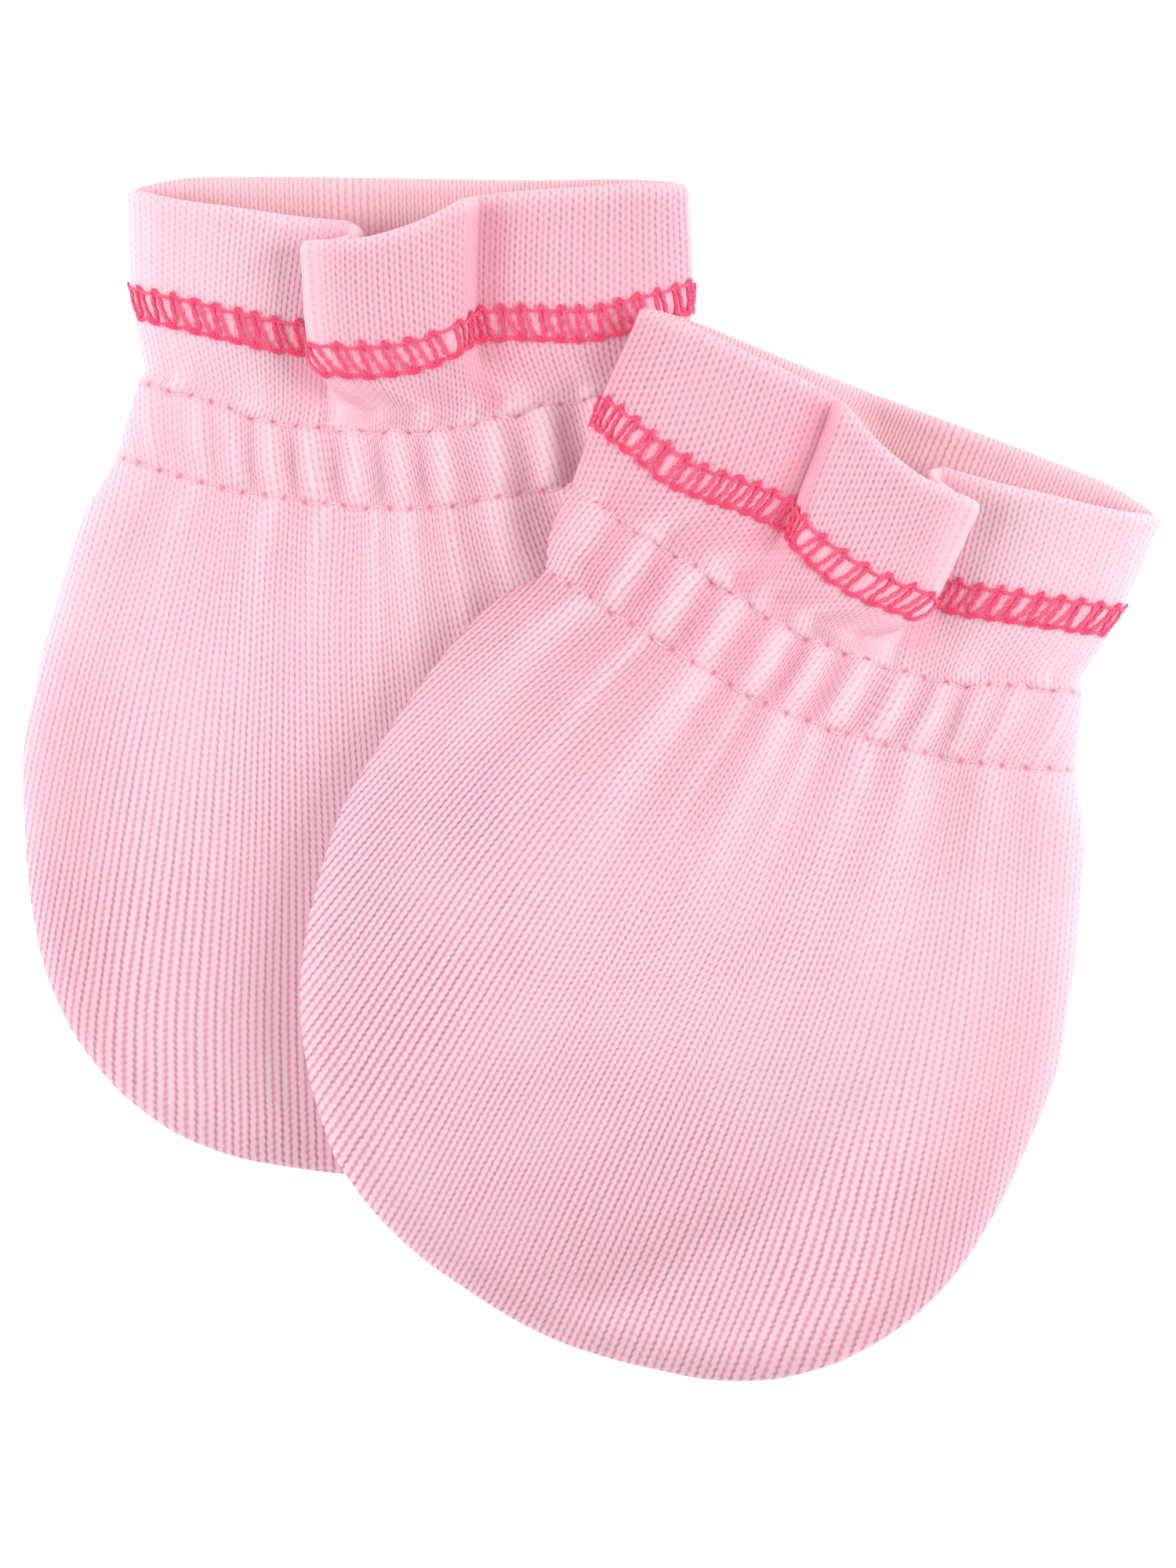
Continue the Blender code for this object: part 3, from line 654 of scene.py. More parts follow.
def knit_places(form, points, cloth, rows):
    """The wale and course at each point of a panel. Below the band each wale is followed up to it."""
    along = length_along(points)
    hem = at_line(HEM_LINE, rows, along)
    course = np.where(along < hem, HEM_COURSES * along / hem, HEM_COURSES + (along - hem) / COURSE_UPPER)
    passed = curve_through(cloth, DRAWN_CLOTH, WALES_PASSED)
    wale = np.broadcast_to(BAND_WALES * passed, course.shape).copy()
    start = form(cloth, np.array([float(LOWER_ROW)]))[0]
    start_course = at_line(LOWER_ROW, rows, course)
    wale -= BAND_WALES * BAND_LEAN * np.clip(rows - ELASTIC_MIDDLE, -1, 1)[:, None]
    below = rows > LOWER_ROW
    x = points[below][..., 0].copy()
    down = points[below][..., 1].copy()
    length = np.zeros(x.shape)
    steps = 50
    for step in range(steps):
        left_over = down - np.interp(x, start[:, 0], start[:, 1])
        fall = left_over / (steps - step)
        lean = lean_at(x - lean_at(x, down) * fall / 2, down - fall / 2)
        x -= lean * fall
        down = down - fall
        length += fall * np.sqrt(1 + lean**2)
    share = (x - start[0, 0]) / (start[-1, 0] - start[0, 0])
    start_share = (start[:, 0] - start[0, 0]) / (start[-1, 0] - start[0, 0])
    drawn = np.interp(share, start_share, passed - start_share, left=0.0, right=0.0)
    wale[below] = BAND_WALES * (share + drawn * near(length, 0, DRAWN_FADE) - BAND_LEAN)
    course[below] = np.interp(x, start[:, 0], start_course)
    far = np.maximum(length - PALM_LENGTH, 0)
    course[below] += np.minimum(length, PALM_LENGTH) / COURSE_PALM + far / COURSE_LOW
    return wale, course


# ---- building pieces


def stretch(start, end, count):
    """`count` places from start on, without the end."""
    return list(np.linspace(start, end, count, endpoint=False))


def near_line(line, reach, count):
    """Places each side of a stitched line, closest together at the line."""
    share = np.linspace(-1, 1, count)
    return list(line + reach * np.sign(share) * np.abs(share) ** 1.3)


def panel_rows(stretches, stitched=()):
    """Rows of a panel, closest together round the rolled rim, at stitched lines and at the fingertips."""
    rim = ROLL * (1 - np.cos(np.linspace(0, math.pi / 2, 9)[:-1])) / CUFF_HEIGHT
    rows = list(rim) + TIP_ROWS
    for part in stretches:
        rows += stretch(*part)
    for line in stitched:
        rows += near_line(*line)
    return np.array(sorted(rows))


def columns(count):
    """Columns of a panel, closest together at the seam on both sides."""
    middle = list(np.linspace(SEAM_END, 1 - SEAM_END, count))
    return np.array(SEAM_COLUMNS + middle + [1 - share for share in reversed(SEAM_COLUMNS)])


def linear(hex_colour):
    """A colour written as sRGB hex, as the renderer's linear values."""
    channels = [int(hex_colour[place : place + 2], 16) / 255 for place in (1, 3, 5)]
    return tuple(c / 12.92 if c <= 0.04045 else ((c + 0.055) / 1.055) ** 2.4 for c in channels) + (1.0,)


def mesh_from(name, bm):
    mesh = bpy.data.meshes.new(name)
    bm.to_mesh(mesh)
    bm.free()
    return mesh


def mesh_object(name, mesh, materials):
    for material in materials:
        mesh.materials.append(material)
    obj = bpy.data.objects.new(name, mesh)
    bpy.context.scene.collection.objects.link(obj)
    return obj


def panel(name, points, rows, maps, marks, materials, faces_up):
    """One cut piece: a grid laid on the form's points, then given its wall.

    `maps` are pairs of values for its corners, such as the wale and course, and `marks` are for its points.
    """
    row_count, column_count = points.shape[:2]
    bm = bmesh.new()
    bmesh.ops.create_grid(bm, x_segments=column_count - 1, y_segments=row_count - 1, size=1.0)
    if not faces_up:
        bmesh.ops.reverse_faces(bm, faces=bm.faces)
    mesh = mesh_from(name, bm)
    flat = np.empty(len(mesh.vertices) * 3, np.float32)
    mesh.vertices.foreach_get("co", flat)
    flat = flat.reshape(-1, 3)
    column = np.rint((flat[:, 0] + 1) / 2 * (column_count - 1)).astype(int)
    row = np.rint((1 - flat[:, 1]) / 2 * (row_count - 1)).astype(int)
    mesh.vertices.foreach_set("co", (points[row, column] * MM).astype(np.float32).ravel())
    corner = np.empty(len(mesh.loops), np.int32)
    mesh.loops.foreach_get("vertex_index", corner)
    for map_name, (across, down) in maps.items():
        layer = mesh.uv_layers.new(name=map_name)
        places = np.stack([across[row, column][corner], down[row, column][corner]], axis=1)
        layer.data.foreach_set("uv", places.astype(np.float32).ravel())
    for mark, values in marks.items():
        attribute = mesh.attributes.new(mark, "FLOAT", "POINT")
        attribute.data.foreach_set("value", values[row, column].astype(np.float32))
    mesh.update()
    mesh.shade_smooth()
    obj = mesh_object(name, mesh, materials)
    group = obj.vertex_groups.new(name="wall")
    walls = wall_at(rows) / (2 * ROLL)
    for number, share in enumerate(walls):
        group.add([int(i) for i in np.flatnonzero(row == number)], float(share), "REPLACE")
    wall = obj.modifiers.new("wall", "SOLIDIFY")
    wall.thickness = 2 * ROLL * MM
    wall.offset = 0.0
    wall.vertex_group = "wall"
    wall.thickness_vertex_group = 0.0
    wall.material_offset = 1
    return obj


class Surface:
    """The outer face of a panel, read at any share of the cloth and any row."""

    def __init__(self, points, cloth, rows):
        across = np.gradient(points, axis=1)
        along = np.gradient(points, axis=0)
        normal = np.cross(along, across)
        middle = normal[len(rows) * 2 // 3, len(cloth) // 2]
        normal = normal * math.copysign(1, middle[2])
        self.normal = unit(normal)
        self.points = points + self.normal * wall_at(rows)[:, None, None] / 2
        self.cloth = cloth
        self.rows = rows

    def read(self, values, cloth, row):
        column = np.interp(cloth, self.cloth, np.arange(len(self.cloth)))
        return read_table(values, np.interp(row, self.rows, np.arange(len(self.rows))), column)

    def along_row(self, row, samples=1500):
        """Shares of the cloth along one row and the length reached at each."""
        cloth = np.linspace(0, 1, samples)
        return cloth, length_along(self.read(self.points, cloth, np.full(samples, float(row))))

    def lay(self, row, along, upward, lift):
        """Points on the cloth beside a row, and the cloth's normals there.

        Each is so far along the row, so far towards the rim, and so high above the cloth.
        """
        cloth, length = self.along_row(row)
        share = np.interp(along, length, cloth)
        here, nudge = np.full(len(share), float(row)), 0.05
        ahead = self.read(self.points, share, here + nudge)
        behind = self.read(self.points, share, here - nudge)
        row_height = np.linalg.norm(ahead - behind, axis=1) / (2 * nudge)
        line = here - upward / np.maximum(row_height, 0.5)
        place = self.read(self.points, share, line)
        normal = unit(self.read(self.normal, share, line))
        return place + normal * lift[:, None], normal


def tube(bm, path, normals, radius, sides, deep):
    """A thread along a path of points, a little flattened against the cloth, and as dark as `deep` says."""
    uv = bm.loops.layers.uv["thread"]
    shade = bm.verts.layers.float["deep"]
    way = unit(np.gradient(path, axis=0))
    side = unit(np.cross(way, normals))
    up = np.cross(side, way)
    length = length_along(path)
    rings = []
    for place, (point, out, high) in enumerate(zip(path, side, up)):
        thick = radius * (1.0 if 0 < place < len(path) - 1 else THREAD_TIP)
        ring = []
        for turn in range(sides):
            angle = 2 * math.pi * turn / sides
            spread = out * math.cos(angle) * thick + high * math.sin(angle) * thick * THREAD_FLAT
            corner = bm.verts.new((point + spread) * MM)
            corner[shade] = deep[place]
            ring.append(corner)
        rings.append(ring)
    for place in range(len(rings) - 1):
        for turn in range(sides):
            after = (turn + 1) % sides
            here, ahead = rings[place], rings[place + 1]
            face = bm.faces.new((here[turn], here[after], ahead[after], ahead[turn]))
            face.smooth = True
            ends = ((place, turn), (place, turn + 1), (place + 1, turn + 1), (place + 1, turn))
            for loop, (at, round_) in zip(face.loops, ends):
                loop[uv].uv = (length[at], round_ / sides)
    for ring, backwards in ((rings[0], True), (rings[-1], False)):
        face = bm.faces.new(ring[::-1] if backwards else ring)
        face.smooth = True


def stray_fibres(bm, path, normals, rng):
    """Short curved fibres that stand out of a fluffy thread on all sides."""
    way = np.gradient(path, axis=0)
    for point, ahead, normal in zip(path[:-1], way, normals):
        side = np.cross(ahead, normal)
        size = max(float(np.linalg.norm(side)), 1e-9)
        side, ahead = side / size, ahead / size
        for _ in range(FIBRES):
            angle = rng.uniform(-0.3, math.pi + 0.3)
            out = side * math.cos(angle) + normal * math.sin(angle) * 0.6
            bend = ahead * rng.uniform(-1.2, 1.2) + side * rng.uniform(-0.4, 0.4)
            start = point + ahead * size * rng.random() + out * HEM_THREAD * 0.8
            at = np.array([[0.0], [0.5], [1.0]]) * FIBRE_LENGTH * rng.uniform(0.5, 1.1)
            curl = start + out * at + bend * at**2 / FIBRE_LENGTH
            tube(bm, curl, np.array([normal] * 3), FIBRE, FIBRE_SIDES, np.zeros(3))


def new_threads():
    bm = bmesh.new()
    bm.loops.layers.uv.new("thread")
    bm.verts.layers.float.new("deep")
    return bm


def thread_object(name, bm, material):
    bmesh.ops.recalc_face_normals(bm, faces=bm.faces)
    return mesh_object(name, mesh_from(name, bm), [material])


# ---- materials


def fill(tree, node, inputs):
    """Sets a node's inputs. Each is a value, a colour in hex, or another node's socket."""
    for name, value in inputs.items():
        if isinstance(value, bpy.types.NodeSocket):
            tree.links.new(value, node.inputs[name])
        else:
            node.inputs[name].default_value = linear(value) if isinstance(value, str) else value


def add(tree, kind, *inputs, out=0, **settings):
    """Adds a node with its settings and links: its inputs in order, or as one table by name or number.

    The kind may end in the node's operation, as in "Math:ADD".
    """
    kind, _, operation = kind.partition(":")
    node = tree.nodes.new("ShaderNode" + kind)
    if operation:
        node.operation = operation
    for name, value in settings.items():
        setattr(node, name, value)
    by_name = bool(inputs) and isinstance(inputs[0], dict)
    fill(tree, node, inputs[0] if by_name else dict(enumerate(inputs)))
    return node.outputs[out]


def new_material(name):
    material = bpy.data.materials.new(name)
    material.use_nodes = True
    tree = material.node_tree
    return material, tree, tree.nodes["Principled BSDF"]


def knit_material(name, pale, painted_highlight_tint, leg_gap_and_shade_tint, groove, dot, ribs, depth):
    """Cotton interlock: matt and softly hairy, so that it hardly shines.

    Every wale has a soft groove beside it and a row of small dark gaps between its loops. Where the cloth is
    stretched the grooves run on as ribs.
    """
    material, tree, shader = new_material(name)
    node = partial(add, tree)
    place = node("TexCoord", out=3)
    marks = [node("Attribute", attribute_name=mark, out=2) for mark in MARKS]
    painted_shade, painted_highlight, stretched_and_shaded, painted_light, cuff, painted_bounce_light = marks

    def wave(value, shift, sharp):
        """A row of soft peaks, one for each whole number of `value` less the shift."""
        cosine = node("Math:COSINE", node("Math:MULTIPLY_ADD", value, 2 * math.pi, -shift * 2 * math.pi))
        return node("Math:POWER", node("Math:MULTIPLY_ADD", cosine, 0.5, 0.5), sharp)

    # The loops wander a little from their wale and course.
    stray = node("TexNoise", {"Vector": place, "Scale": 1 / (LOOP_WANDER * MM), "Detail": 2.0}, out=1)
    stray = node("VectorMath:SUBTRACT", stray, (0.5, 0.5, 0.5))
    stray = node("VectorMath:MULTIPLY", stray, (0.12, 0.30, 0.0))
    places = node("VectorMath:ADD", node("UVMap", uv_map="knit"), stray)
    split = node("SeparateXYZ", places).node
    wale, course = split.outputs[0], split.outputs[1]
    wale_turn = node("Math:MULTIPLY", wale, 2 * math.pi)
    course_turn = node("Math:MULTIPLY", course, 2 * math.pi)
    pinch = node("Math:MULTIPLY", node("Math:SINE", wale_turn), -0.035)
    pinch = node("Math:MULTIPLY", pinch, node("Math:COSINE", course_turn))
    sway = node("Math:MULTIPLY", node("Math:SINE", course_turn), 0.02)
    wale = node("Math:ADD", wale, node("Math:ADD", pinch, sway))

    # The gaps are dots between the loops, and run together where the cloth is stretched.
    run_on = node("Math:MULTIPLY", node("Math:MAXIMUM", stretched_and_shaded, ribs), 0.6)
    gaps = []
    for shift, sharp, joined in ((0.0, 10.0, 1.0), (0.5, 14.0, 0.9)):
        dots = node("Math:MULTIPLY_ADD", wave(course, shift, 1.5), 0.60, 0.40)
        dots = node("Mix", {0: run_on, 2: dots, 3: joined})
        gaps.append(node("Math:MULTIPLY", wave(wale, shift, sharp), dots))
    wide, fine = gaps

    # They show less under the painted highlight, the painted light and the painted bounce light, and more on
    # the cuff and on stretched cloth, where they also paint shade.
    noise = {"Vector": place, "Scale": 1 / (BLOTCH * MM), "Detail": 3.0, "Roughness": 0.55}
    strength = node("MapRange", node("TexNoise", noise), 0.38, 0.62, 0.72, 1.0)
    painted_light_washout = node("Math:MAXIMUM", painted_highlight, painted_light)
    changes = ((painted_light_washout, -0.45, 0.85), (painted_bounce_light, -0.7, 1.0), (cuff, 0.25, 1.0), (stretched_and_shaded, 0.35, 1.0))
    for mark, change, start in changes:
        strength = node("Math:MULTIPLY", strength, node("Math:MULTIPLY_ADD", mark, change, start))
    # Painted highlight: the ridges' tops and the rim, and a little of the painted light, take the lighter
    # tint.
    lightened = node("Math:MAXIMUM", painted_highlight, node("Math:MULTIPLY", painted_light, 0.25))
    legs_apart = node("Math:MULTIPLY", wave(node("Math:MULTIPLY", wale, 2.0), 0.0, 2.5), 0.55)

    # The thread of the elastic's stitches pulls the cloth in along its row, most where it goes through: shade
    # is painted along that row and into a pit at each needle hole, which is also pressed in.
    split = node("SeparateXYZ", node("UVMap", uv_map="seam")).node
    along = node("Math:SUBTRACT", node("Math:FRACT", node("Math:ADD", split.outputs[0], 0.5)), 0.5)
    along = node("Math:MULTIPLY", along, ELASTIC_PITCH / PIT_LENGTH)
    beside = node("Math:MULTIPLY", split.outputs[1], 1 / PIT_WIDTH)
    beside = node("Math:MULTIPLY", beside, beside)
    away = node("Math:MULTIPLY_ADD", along, along, beside)
    pit = node("Math:POWER", math.e, node("Math:MULTIPLY", away, -1.0))
    sunk = node("Math:POWER", math.e, node("Math:MULTIPLY", beside, -0.8))

    # Onto the cloth's own colour go painted shade, painted highlight, the knit's gaps, painted shade along
    # the elastic's row and in its pits, and painted bounce light.
    colour = pale
    for share, most, tint in (
        (painted_shade, 1.0, leg_gap_and_shade_tint),
        (lightened, 0.6, painted_highlight_tint),
        (legs_apart, strength, leg_gap_and_shade_tint),
        (wide, strength, groove),
        (fine, strength, dot),
        (sunk, 0.35, leg_gap_and_shade_tint),
        (pit, 0.85, "#E27D97"),
        (painted_bounce_light, 0.70, "#FFCADA"),
    ):
        share = node("Math:MULTIPLY", share, most)
        colour = node("Mix", {0: share, 6: colour, 7: tint}, out=2, data_type="RGBA")

    noise = {"Vector": place, "Scale": 1 / (FUZZ * MM), "Detail": 3.0, "Roughness": 0.7}
    height = node("Math:MULTIPLY", node("Math:MULTIPLY_ADD", wide, 0.8, fine), -1.0)
    height = node("Math:MULTIPLY_ADD", node("TexNoise", noise), 0.5, height)
    height = node("Math:MULTIPLY_ADD", pit, -1.2, height)
    look = {
        "Base Color": colour,
        "Normal": node("Bump", {"Strength": 0.7, "Distance": depth * MM, "Height": height}),
        "Roughness": 0.95,
        "Specular IOR Level": 0.15,
        "Sheen Weight": 0.12,
        "Sheen Roughness": 0.5,
        "Sheen Tint": "#FFE0EA",
    }
    fill(tree, shader, look)
    return material


def thread_material(name, colour, deep, twist, shine, painted_glow):
    """Sewing thread: soft plied polyester with a low sheen, darker where it lies doubled, with painted shade
    in the crevices where its plies meet and where it sinks into the cloth.

    Light soaks into the loose fibres and comes out nearby, and a faint emission paints in a little more
    light, so that the thread glows though it is no lamp.
    """
    material, tree, shader = new_material(name)
    node = partial(add, tree)
    split = node("SeparateXYZ", node("UVMap", uv_map="thread")).node
    turned = node("Math:MULTIPLY_ADD", split.outputs[0], twist, split.outputs[1])
    plies = node("Math:SINE", node("Math:MULTIPLY", turned, 4 * math.pi))
    plies = node("Math:MULTIPLY_ADD", plies, 0.5, 0.5)
    place = node("TexCoord", out=3)
    noise = {"Vector": place, "Scale": 1 / (THREAD_FUZZ * MM), "Detail": 3.0, "Roughness": 0.7}
    stray = node("TexNoise", noise)
    doubled_and_sunk = node("Attribute", attribute_name="deep", out=2)
    depth = node("Math:ADD", node("Math:MULTIPLY", plies, stray), doubled_and_sunk, use_clamp=True)
    height = node("Math:ADD", plies, stray)
    look = {
        "Base Color": node("Mix", {0: depth, 6: colour, 7: deep}, out=2, data_type="RGBA"),
        "Normal": node("Bump", {"Strength": 0.6, "Distance": 0.08 * MM, "Height": height}),
        "Roughness": shine,
        "Specular IOR Level": 0.3,
        "Sheen Weight": 0.2,
        "Subsurface Weight": 0.35,
        "Subsurface Radius": (1.0, 0.3, 0.45),
        "Subsurface Scale": 0.4 * MM,
        "Emission Color": colour,
        "Emission Strength": painted_glow,
    }
    fill(tree, shader, look)
    return material


# ---- the pieces


def patches(mark, cloth, rows):
    """Each patch of one mark, over the whole panel."""
    found = []
    for patch in PATCHES:
        if patch.mark == mark:
            shown = rising(rows, patch.begins, patch.rising) * falling(rows, patch.ends, patch.fading)
            across = near(cloth, patch.middle, patch.width, patch.square)
            found.append(patch.strength * across * shown[:, None])
    return found


def stretch_and_shade_mark(points, mirrored):
    """How far the cloth is stretched across its wales: most on the left as it lies, and at the tips."""
    # The dark gaps that this brings out on the left, as the mittens lie, also paint shade there.
    x, down = points[..., 0], points[..., 1]
    low = 0.7 * rising(down, 74, 14)
    if mirrored:
        return np.maximum(rising(x, 4, 26) * rising(down, 18, 14), low)
    return np.maximum(0.75 * falling(x, -8, 26) * rising(down, 46, 16), low)


def front_marks(points, cloth, rows, mirrored):
    """All marks of a front panel. Distances are in millimetres in the mitten's own frame.

    painted shade: darker between the gathers' ridges, in the valley and in the creases, beside and left of
    the flap, along the outer side of the palm, and somewhat over the cuff
    painted highlight: lighter on top of the ridges and round the rim, and the loops hardly show there
    painted light: lighter on the outer side, over the stretched fold and under the flap, and the loops hardly
    show
    cuff: on the flap and the right of the cuff, where the gaps between the loops show most
    painted bounce light: lighter and pinker between the bright stitches, and beside and under the flap
    """
    x, down = points[..., 0], points[..., 1]
    ridge, gather = ridges(cloth, rows), over_rows(rows, "gather")
    cuff = rising(cloth, 0.40, 0.08) * (1 - rising(rows, 1.2, 1.2))[:, None]
    lit = falling(x, 4, 14) if mirrored else 1.0
    # Painted shade in the gathers' valleys, less of it on the right of the mitten on top, as it lies.
    troughs = gather * (1 - ridge**0.7) * (1 - 0.6 * lit * rising(down, 8, 8))
    # Painted shade along the outer side of the palm.
    edge = 0.32 * falling(x, -29, 9) * rising(down, 48, 14)
    # Painted light on the outer side, most at the cuff and the band.
    side = falling(x, -12, 14) * (1 - 0.35 * rising(down, 26, 20)) * (1 - rising(down, 60, 26))
    # Painted bounce light between the hem stitches, where their shade falls.
    stitched = near(rows, HEM_LINE, 0.15, 4)[:, None] + 0 * cloth
    return {
        "painted_shade": np.clip(0.75 * troughs + sum(patches("painted_shade", cloth, rows)) + edge + 0.48 * cuff, 0, 1),
        # Painted highlight on the ridges' tops and round the rim.
        "painted_highlight": np.maximum(gather * ridge, near(rows * CUFF_HEIGHT, 0, 1.1)[:, None]),
        "open_and_shade": stretch_and_shade_mark(points, mirrored),
        "painted_light": np.maximum.reduce([side, *patches("painted_light", cloth, rows)]),
        "cuff": cuff,
        "painted_bounce_light": np.maximum.reduce([stitched, *patches("painted_bounce_light", cloth, rows)]),
    }


def needle_holes(length, seed):
    """Where the needle went through along a row of stitches."""
    rng = random.Random(seed)
    holes = [0.6]
    while holes[-1] < length - 1.2 * ELASTIC_PITCH:
        holes.append(holes[-1] + ELASTIC_PITCH * rng.uniform(0.88, 1.13))
    return np.array(holes)


def seam_map(surface, seeds):
    """For each point of a front panel: its place among the needle holes, and its distance from that row."""
    rows, cloth = surface.rows, surface.cloth
    upper = rows < (UPPER_ROW + LOWER_ROW) / 2
    down = length_along(surface.points)
    place = np.empty(down.shape)
    beside = np.empty(down.shape)
    for line, chosen, seed in ((UPPER_ROW, upper, seeds[0]), (LOWER_ROW, ~upper, seeds[1])):
        shares, length = surface.along_row(line)
        holes = needle_holes(length[-1], seed)
        holes = np.concatenate([[holes[0] - ELASTIC_PITCH], holes, [holes[-1] + ELASTIC_PITCH]])
        place[chosen] = np.interp(np.interp(cloth, shares, length), holes, np.arange(len(holes)))
        beside[chosen] = np.abs(down[chosen] - at_line(line, rows, down))
    return place, beside


# One loop of the looper thread: how far across the stitch, and how far towards the rim from its middle.
HEM_LOOP = (
    (0.00, 1.72), (0.11, 1.58), (0.17, 1.15), (0.19, 0.40), (0.20, -0.50), (0.25, -1.25), (0.36, -1.70),
    (0.50, -1.84), (0.64, -1.70), (0.75, -1.25), (0.80, -0.50), (0.81, 0.40), (0.83, 1.15), (0.89, 1.58),
)


def hem_starts(length, fold_from, fold_to, flap_end, rng):
    """Where each stitch begins: crowded at the fold, longer on the flap."""
    starts = [0.5]
    while starts[-1] < length - 0.6:
        here = starts[-1]
        pitch = HEM_PITCH
        if fold_from - CROWD_LENGTH < here < fold_from:
            pitch = HEM_CROWDED
        if fold_to < here < flap_end:
            pitch = HEM_FLAP
        starts.append(here + pitch * rng.uniform(0.9, 1.1))
    return starts


def hem_stitches(name, surface, material, seed):
    """A cover stitch: leaning loops of the looper thread, and needle threads that catch their ends."""
    rng = random.Random(seed)
    bm = new_threads()
    cloth, length = surface.along_row(HEM_LINE)
    fold_from = np.interp(FOLDS[TUCK_START].cloth + TUCK_HIDES, cloth, length)
    fold_to = np.interp(FOLDS[TUCK_END].cloth - TUCK_SHOWS, cloth, length)
    flap_end = np.interp(FLAP_EDGE, cloth, length)
    starts = hem_starts(length[-1], fold_from, fold_to, flap_end, rng)
    looper = [[], []]
    above = [[], []]
    below = [[], []]
    for start, after in zip(starts[:-1], starts[1:]):
        pitch = after - start
        side = 0 if after < fold_from else 1
        if side and start < fold_to:
            continue
        lean = rng.gauss(HEM_LEAN_FLAP if fold_to < start < flap_end else HEM_LEAN, 0.05)
        tall = rng.uniform(0.90, 1.06)
        sway = rng.uniform(-0.05, 0.05)
        for share, up in HEM_LOOP:
            along = start + pitch * (share + sway * math.sin(2 * math.pi * share)) - lean * up * tall
            dark = 0.55 * (abs(up) > 1.5) + 0.3 * (share > 0.6)
            looper[side].append((along, up * tall, 0.20 + 0.06 * abs(up) / 1.8, dark))
        # How far along, how far towards the rim, how high above the cloth, and how dark.
        peak = start - lean * 1.75
        above[side] += [
            (peak - 0.12, 1.55, 0.30, 0.2),
            (peak, 1.95 + rng.uniform(-0.1, 0.12), 0.34, 0.6),
            (peak + 0.14, 1.55, 0.30, 0.2),
            (peak + pitch * 0.5, 1.30 + rng.uniform(-0.08, 0.08), 0.26, 0.0),
        ]
        foot = start + pitch * 0.5 + lean * 1.84
        below[side] += [
            (foot - pitch * 0.16, -1.90, 0.34, 0.7),
            (foot + pitch * 0.14, -1.96, 0.34, 0.9),
            (foot + pitch * 0.42, -1.62 + rng.uniform(-0.08, 0.08), 0.26, 0.1),
        ]
    threads = ((looper, HEM_THREAD, 2), (above, HEM_NEEDLE, 1), (below, HEM_NEEDLE, 1))
    for stretches, radius, plies in threads:
        for stitches in stretches:
            if len(stitches) > 3:
                knots = np.arange(len(stitches))
                path = curve_through(np.linspace(0, knots[-1], len(stitches) * 2 + 1), knots, stitches)
                points, normals = lay_thread(bm, surface, path, radius, HEM_LINE, plies)
                stray_fibres(bm, points, normals, rng)
    return thread_object(name, bm, material)


def lay_thread(bm, surface, path, radius, row, plies=1):
    """Lays a thread on the cloth along places beside a row. Two plies wind round each other."""
    along, up, lift, deep = np.array(path, float).T
    points, normals = surface.lay(row, along, up, lift)
    turned = 2 * math.pi * length_along(points) / PLY_TURN
    side = unit(np.cross(np.gradient(points, axis=0), normals))
    for ply in range(plies):
        apart = PLY_APART * (plies - 1)
        angle = (turned + math.pi * ply)[:, None]
        moved = points + apart * (side * np.cos(angle) + normals * np.sin(angle) * 0.6)
        tube(bm, moved, normals, radius, THREAD_SIDES, np.clip(deep, 0, 1))
    return points, normals


def elastic_stitches(name, surface, material, seeds):
    """Two rows of straight stitches that hold the elastic. Each lies on the cloth and dips at both ends."""
    bm = new_threads()
    for row, seed in zip((UPPER_ROW, LOWER_ROW), seeds):
        rng = random.Random(seed + 50)
        _, length = surface.along_row(row)
        holes = needle_holes(length[-1], seed)
        for start, end in zip(holes[:-1], holes[1:]):
            at = np.linspace(0, 1, 11)
            lift = -0.24 + 0.30 * np.sin(math.pi * at) ** 0.6
            side = rng.uniform(-0.08, 0.08)
            # The thread's ends, where it sinks into the needle holes, get painted shade.
            deep = 0.9 * np.abs(2 * at - 1) ** 4
            path = np.stack([start + (end - start) * at, side * (2 * at - 1), lift, deep], axis=1)
            lay_thread(bm, surface, path, ELASTIC_THREAD, row)
    return thread_object(name, bm, material)


# How far a point on a panel with no stitched row is said to lie from one.
NO_SEAM = 50


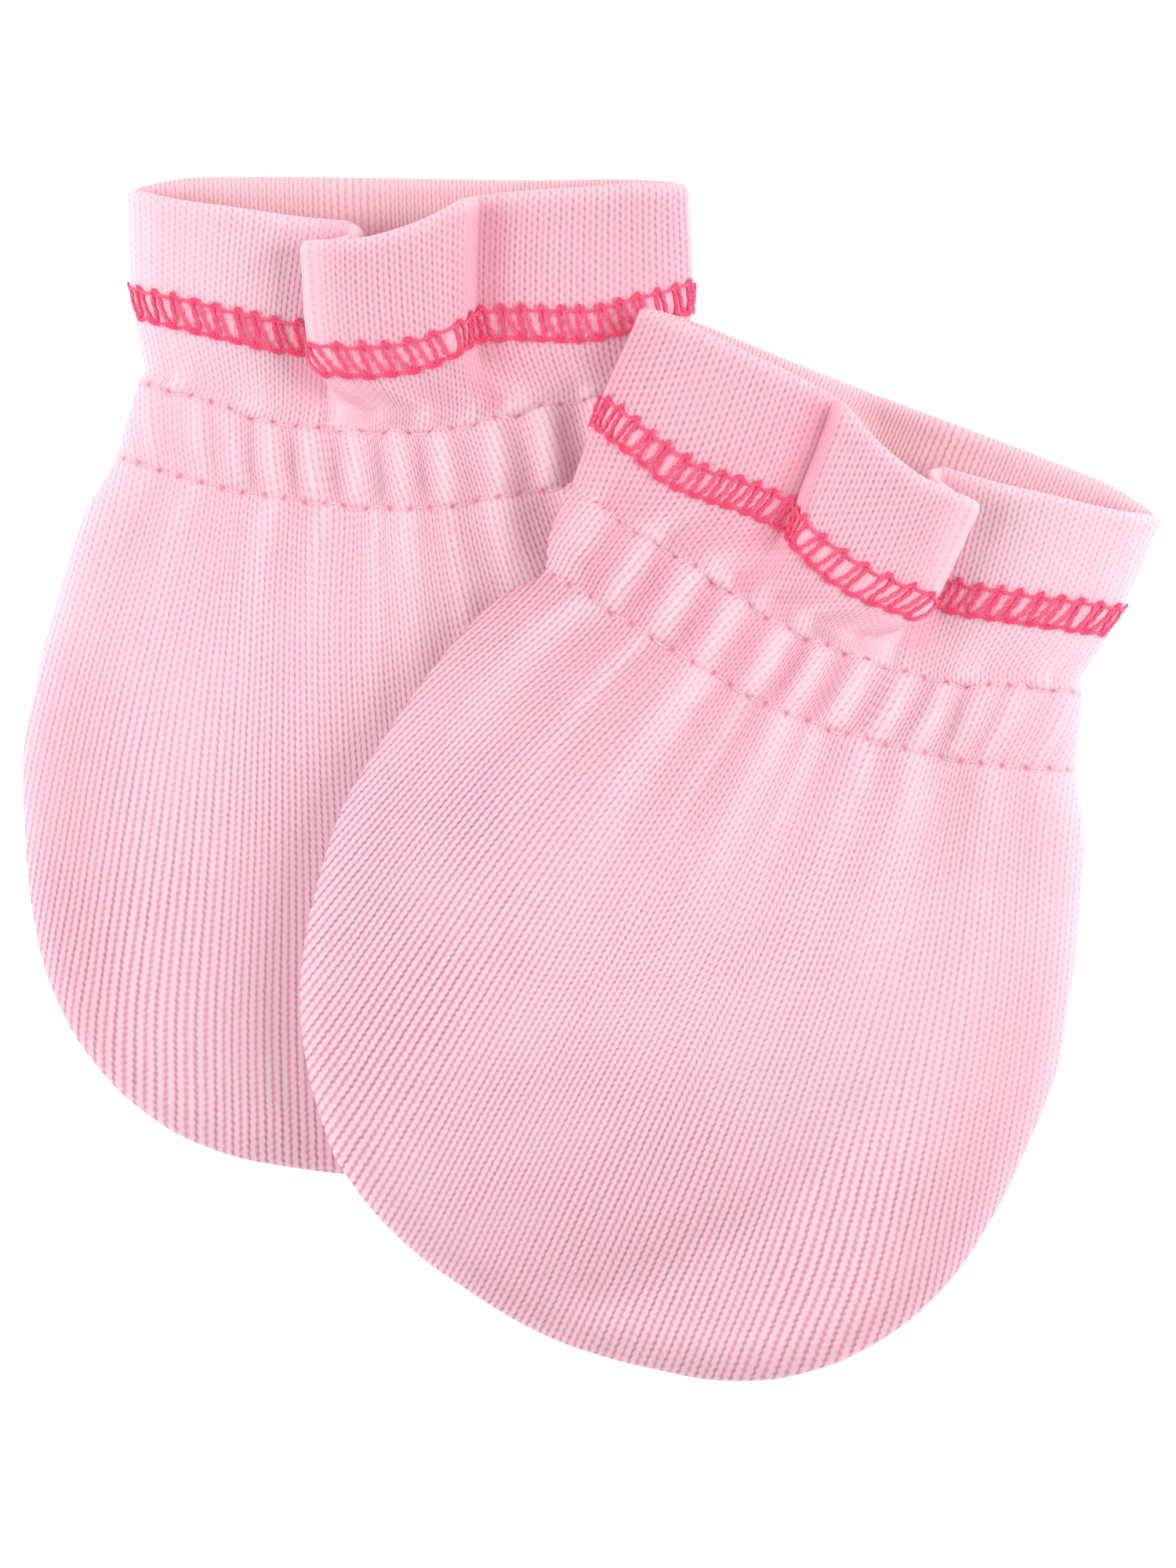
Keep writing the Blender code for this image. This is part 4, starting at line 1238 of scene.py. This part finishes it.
def main():
    front_knit = knit_material(
        "cotton interlock, outer face", "#F2D9E3", "#FDE5EC", "#EFB4C4", "#D79AAE", "#C4839A", 0.0, 0.12
    )
    # The inner face is the same knit, painted lighter and pinker to make up for the shade inside the mittens.
    inner_knit_painted_lighter = knit_material(
        "cotton interlock, inner face, painted lighter", "#FFDEE4", "#FFE0E6", "#FDC3CC", "#F0B0BC", "#E2A0AE", 1.0, 0.12
    )
    # The overlock thread has a faint painted glow.
    hem_thread = thread_material("textured polyester overlock thread", "#FF7099", "#FB3F6E", 1.1, 0.6, 0.10)
    elastic_thread = thread_material("pale polyester sewing thread", "#FFEAF0", "#E59DB2", 1.8, 0.5, 0.0)

    cloth, rows = columns(FRONT_COLUMNS), panel_rows(FRONT_STRETCHES, STITCHED_ROWS)
    back_cloth, back_rows = columns(BACK_COLUMNS), panel_rows(BACK_STRETCHES)
    knits = [front_knit, inner_knit_painted_lighter]
    for name, place, seed in (("under_mitten", under_placed, 5), ("over_mitten", over_placed, 11)):
        mirrored = name == "over_mitten"
        seeds = (seed + 1, seed + 2)
        local = front_form(cloth, rows)
        points = place(local)
        surface = Surface(points, cloth, rows)
        maps = {"knit": knit_places(front_form, local, cloth, rows), "seam": seam_map(surface, seeds)}
        marks = front_marks(local, cloth, rows, mirrored)
        front = panel(name + "_front_cloth", points, rows, maps, marks, knits, not mirrored)
        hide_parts(name + "_front")

        local = back_form(back_cloth, back_rows)
        nothing = np.zeros(local.shape[:2])
        knit = knit_places(back_form, local, back_cloth, back_rows)
        maps = {"knit": knit, "seam": (nothing, nothing + NO_SEAM)}
        marks = dict.fromkeys(MARKS, nothing) | {"open_and_shade": stretch_and_shade_mark(local, mirrored)}
        back = panel(name + "_back_cloth", place(local), back_rows, maps, marks, knits, mirrored)
        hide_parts(name + "_back")

        hem = hem_stitches(name + "_hem_thread", surface, hem_thread, seed)
        elastic = elastic_stitches(name + "_elastic_thread", surface, elastic_thread, seeds)
        for piece in (front, back, hem, elastic):
            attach(piece, "root")


# The stage, in metres: the sheet's half width and how far it lies below, two softboxes with their places
# and power, and the eye with its height above the cloth and the length of cloth in view.
FLOOR_HALF = 1.5
FLOOR_GAP = 0.0002
SOFTBOXES = (("softbox_left", (-0.45, 0.08, 0.34), 2.06), ("softbox_right", (0.45, 0.06, 0.34), 2.12))
SOFTBOX_SIZE = 0.36
EYE = (-0.00031, -0.00053, 1.5)
EYE_ABOVE = 1.492
VIEW_LENGTH = 0.176
SENSOR = 36.0


def stage():
    """A lit white sheet below, soft light from both sides and all round, and the camera straight above."""
    bm = bmesh.new()
    bmesh.ops.create_grid(bm, x_segments=1, y_segments=1, size=FLOOR_HALF)
    opal, tree, shader = new_material("matt white opal sheet, lit softly from below")
    # It glows evenly, so that the eye sees plain white with hardly a shadow.
    look = {"Base Color": "#FDFDFD", "Roughness": 0.95}
    fill(tree, shader, look | {"Emission Color": "#FFFFFF", "Emission Strength": 0.6})
    floor = mesh_object("opal_floor", mesh_from("opal_floor", bm), [opal])
    floor.location.z = -FLOOR_GAP

    scene = bpy.context.scene
    world = bpy.data.worlds.new("soft_surround")
    world.use_nodes = True
    fill(world.node_tree, world.node_tree.nodes["Background"], {"Color": "#FFD6DF", "Strength": 0.48})
    scene.world = world
    for name, place, power in SOFTBOXES:
        light = bpy.data.lights.new(name, "AREA")
        light.shape = "SQUARE"
        light.size = SOFTBOX_SIZE
        light.energy = power
        lamp = bpy.data.objects.new(name, light)
        scene.collection.objects.link(lamp)
        lamp.location = place
        lamp.rotation_euler = (-Vector(place)).to_track_quat("-Z", "Y").to_euler()

    camera = bpy.data.cameras.new("camera")
    camera.sensor_width = SENSOR
    camera.lens = SENSOR * EYE_ABOVE / VIEW_LENGTH
    camera.dof.use_dof = False
    eye = bpy.data.objects.new("camera", camera)
    scene.collection.objects.link(eye)
    eye.location = EYE
    scene.camera = eye
    scene.view_settings.view_transform = "Standard"


main()
stage()
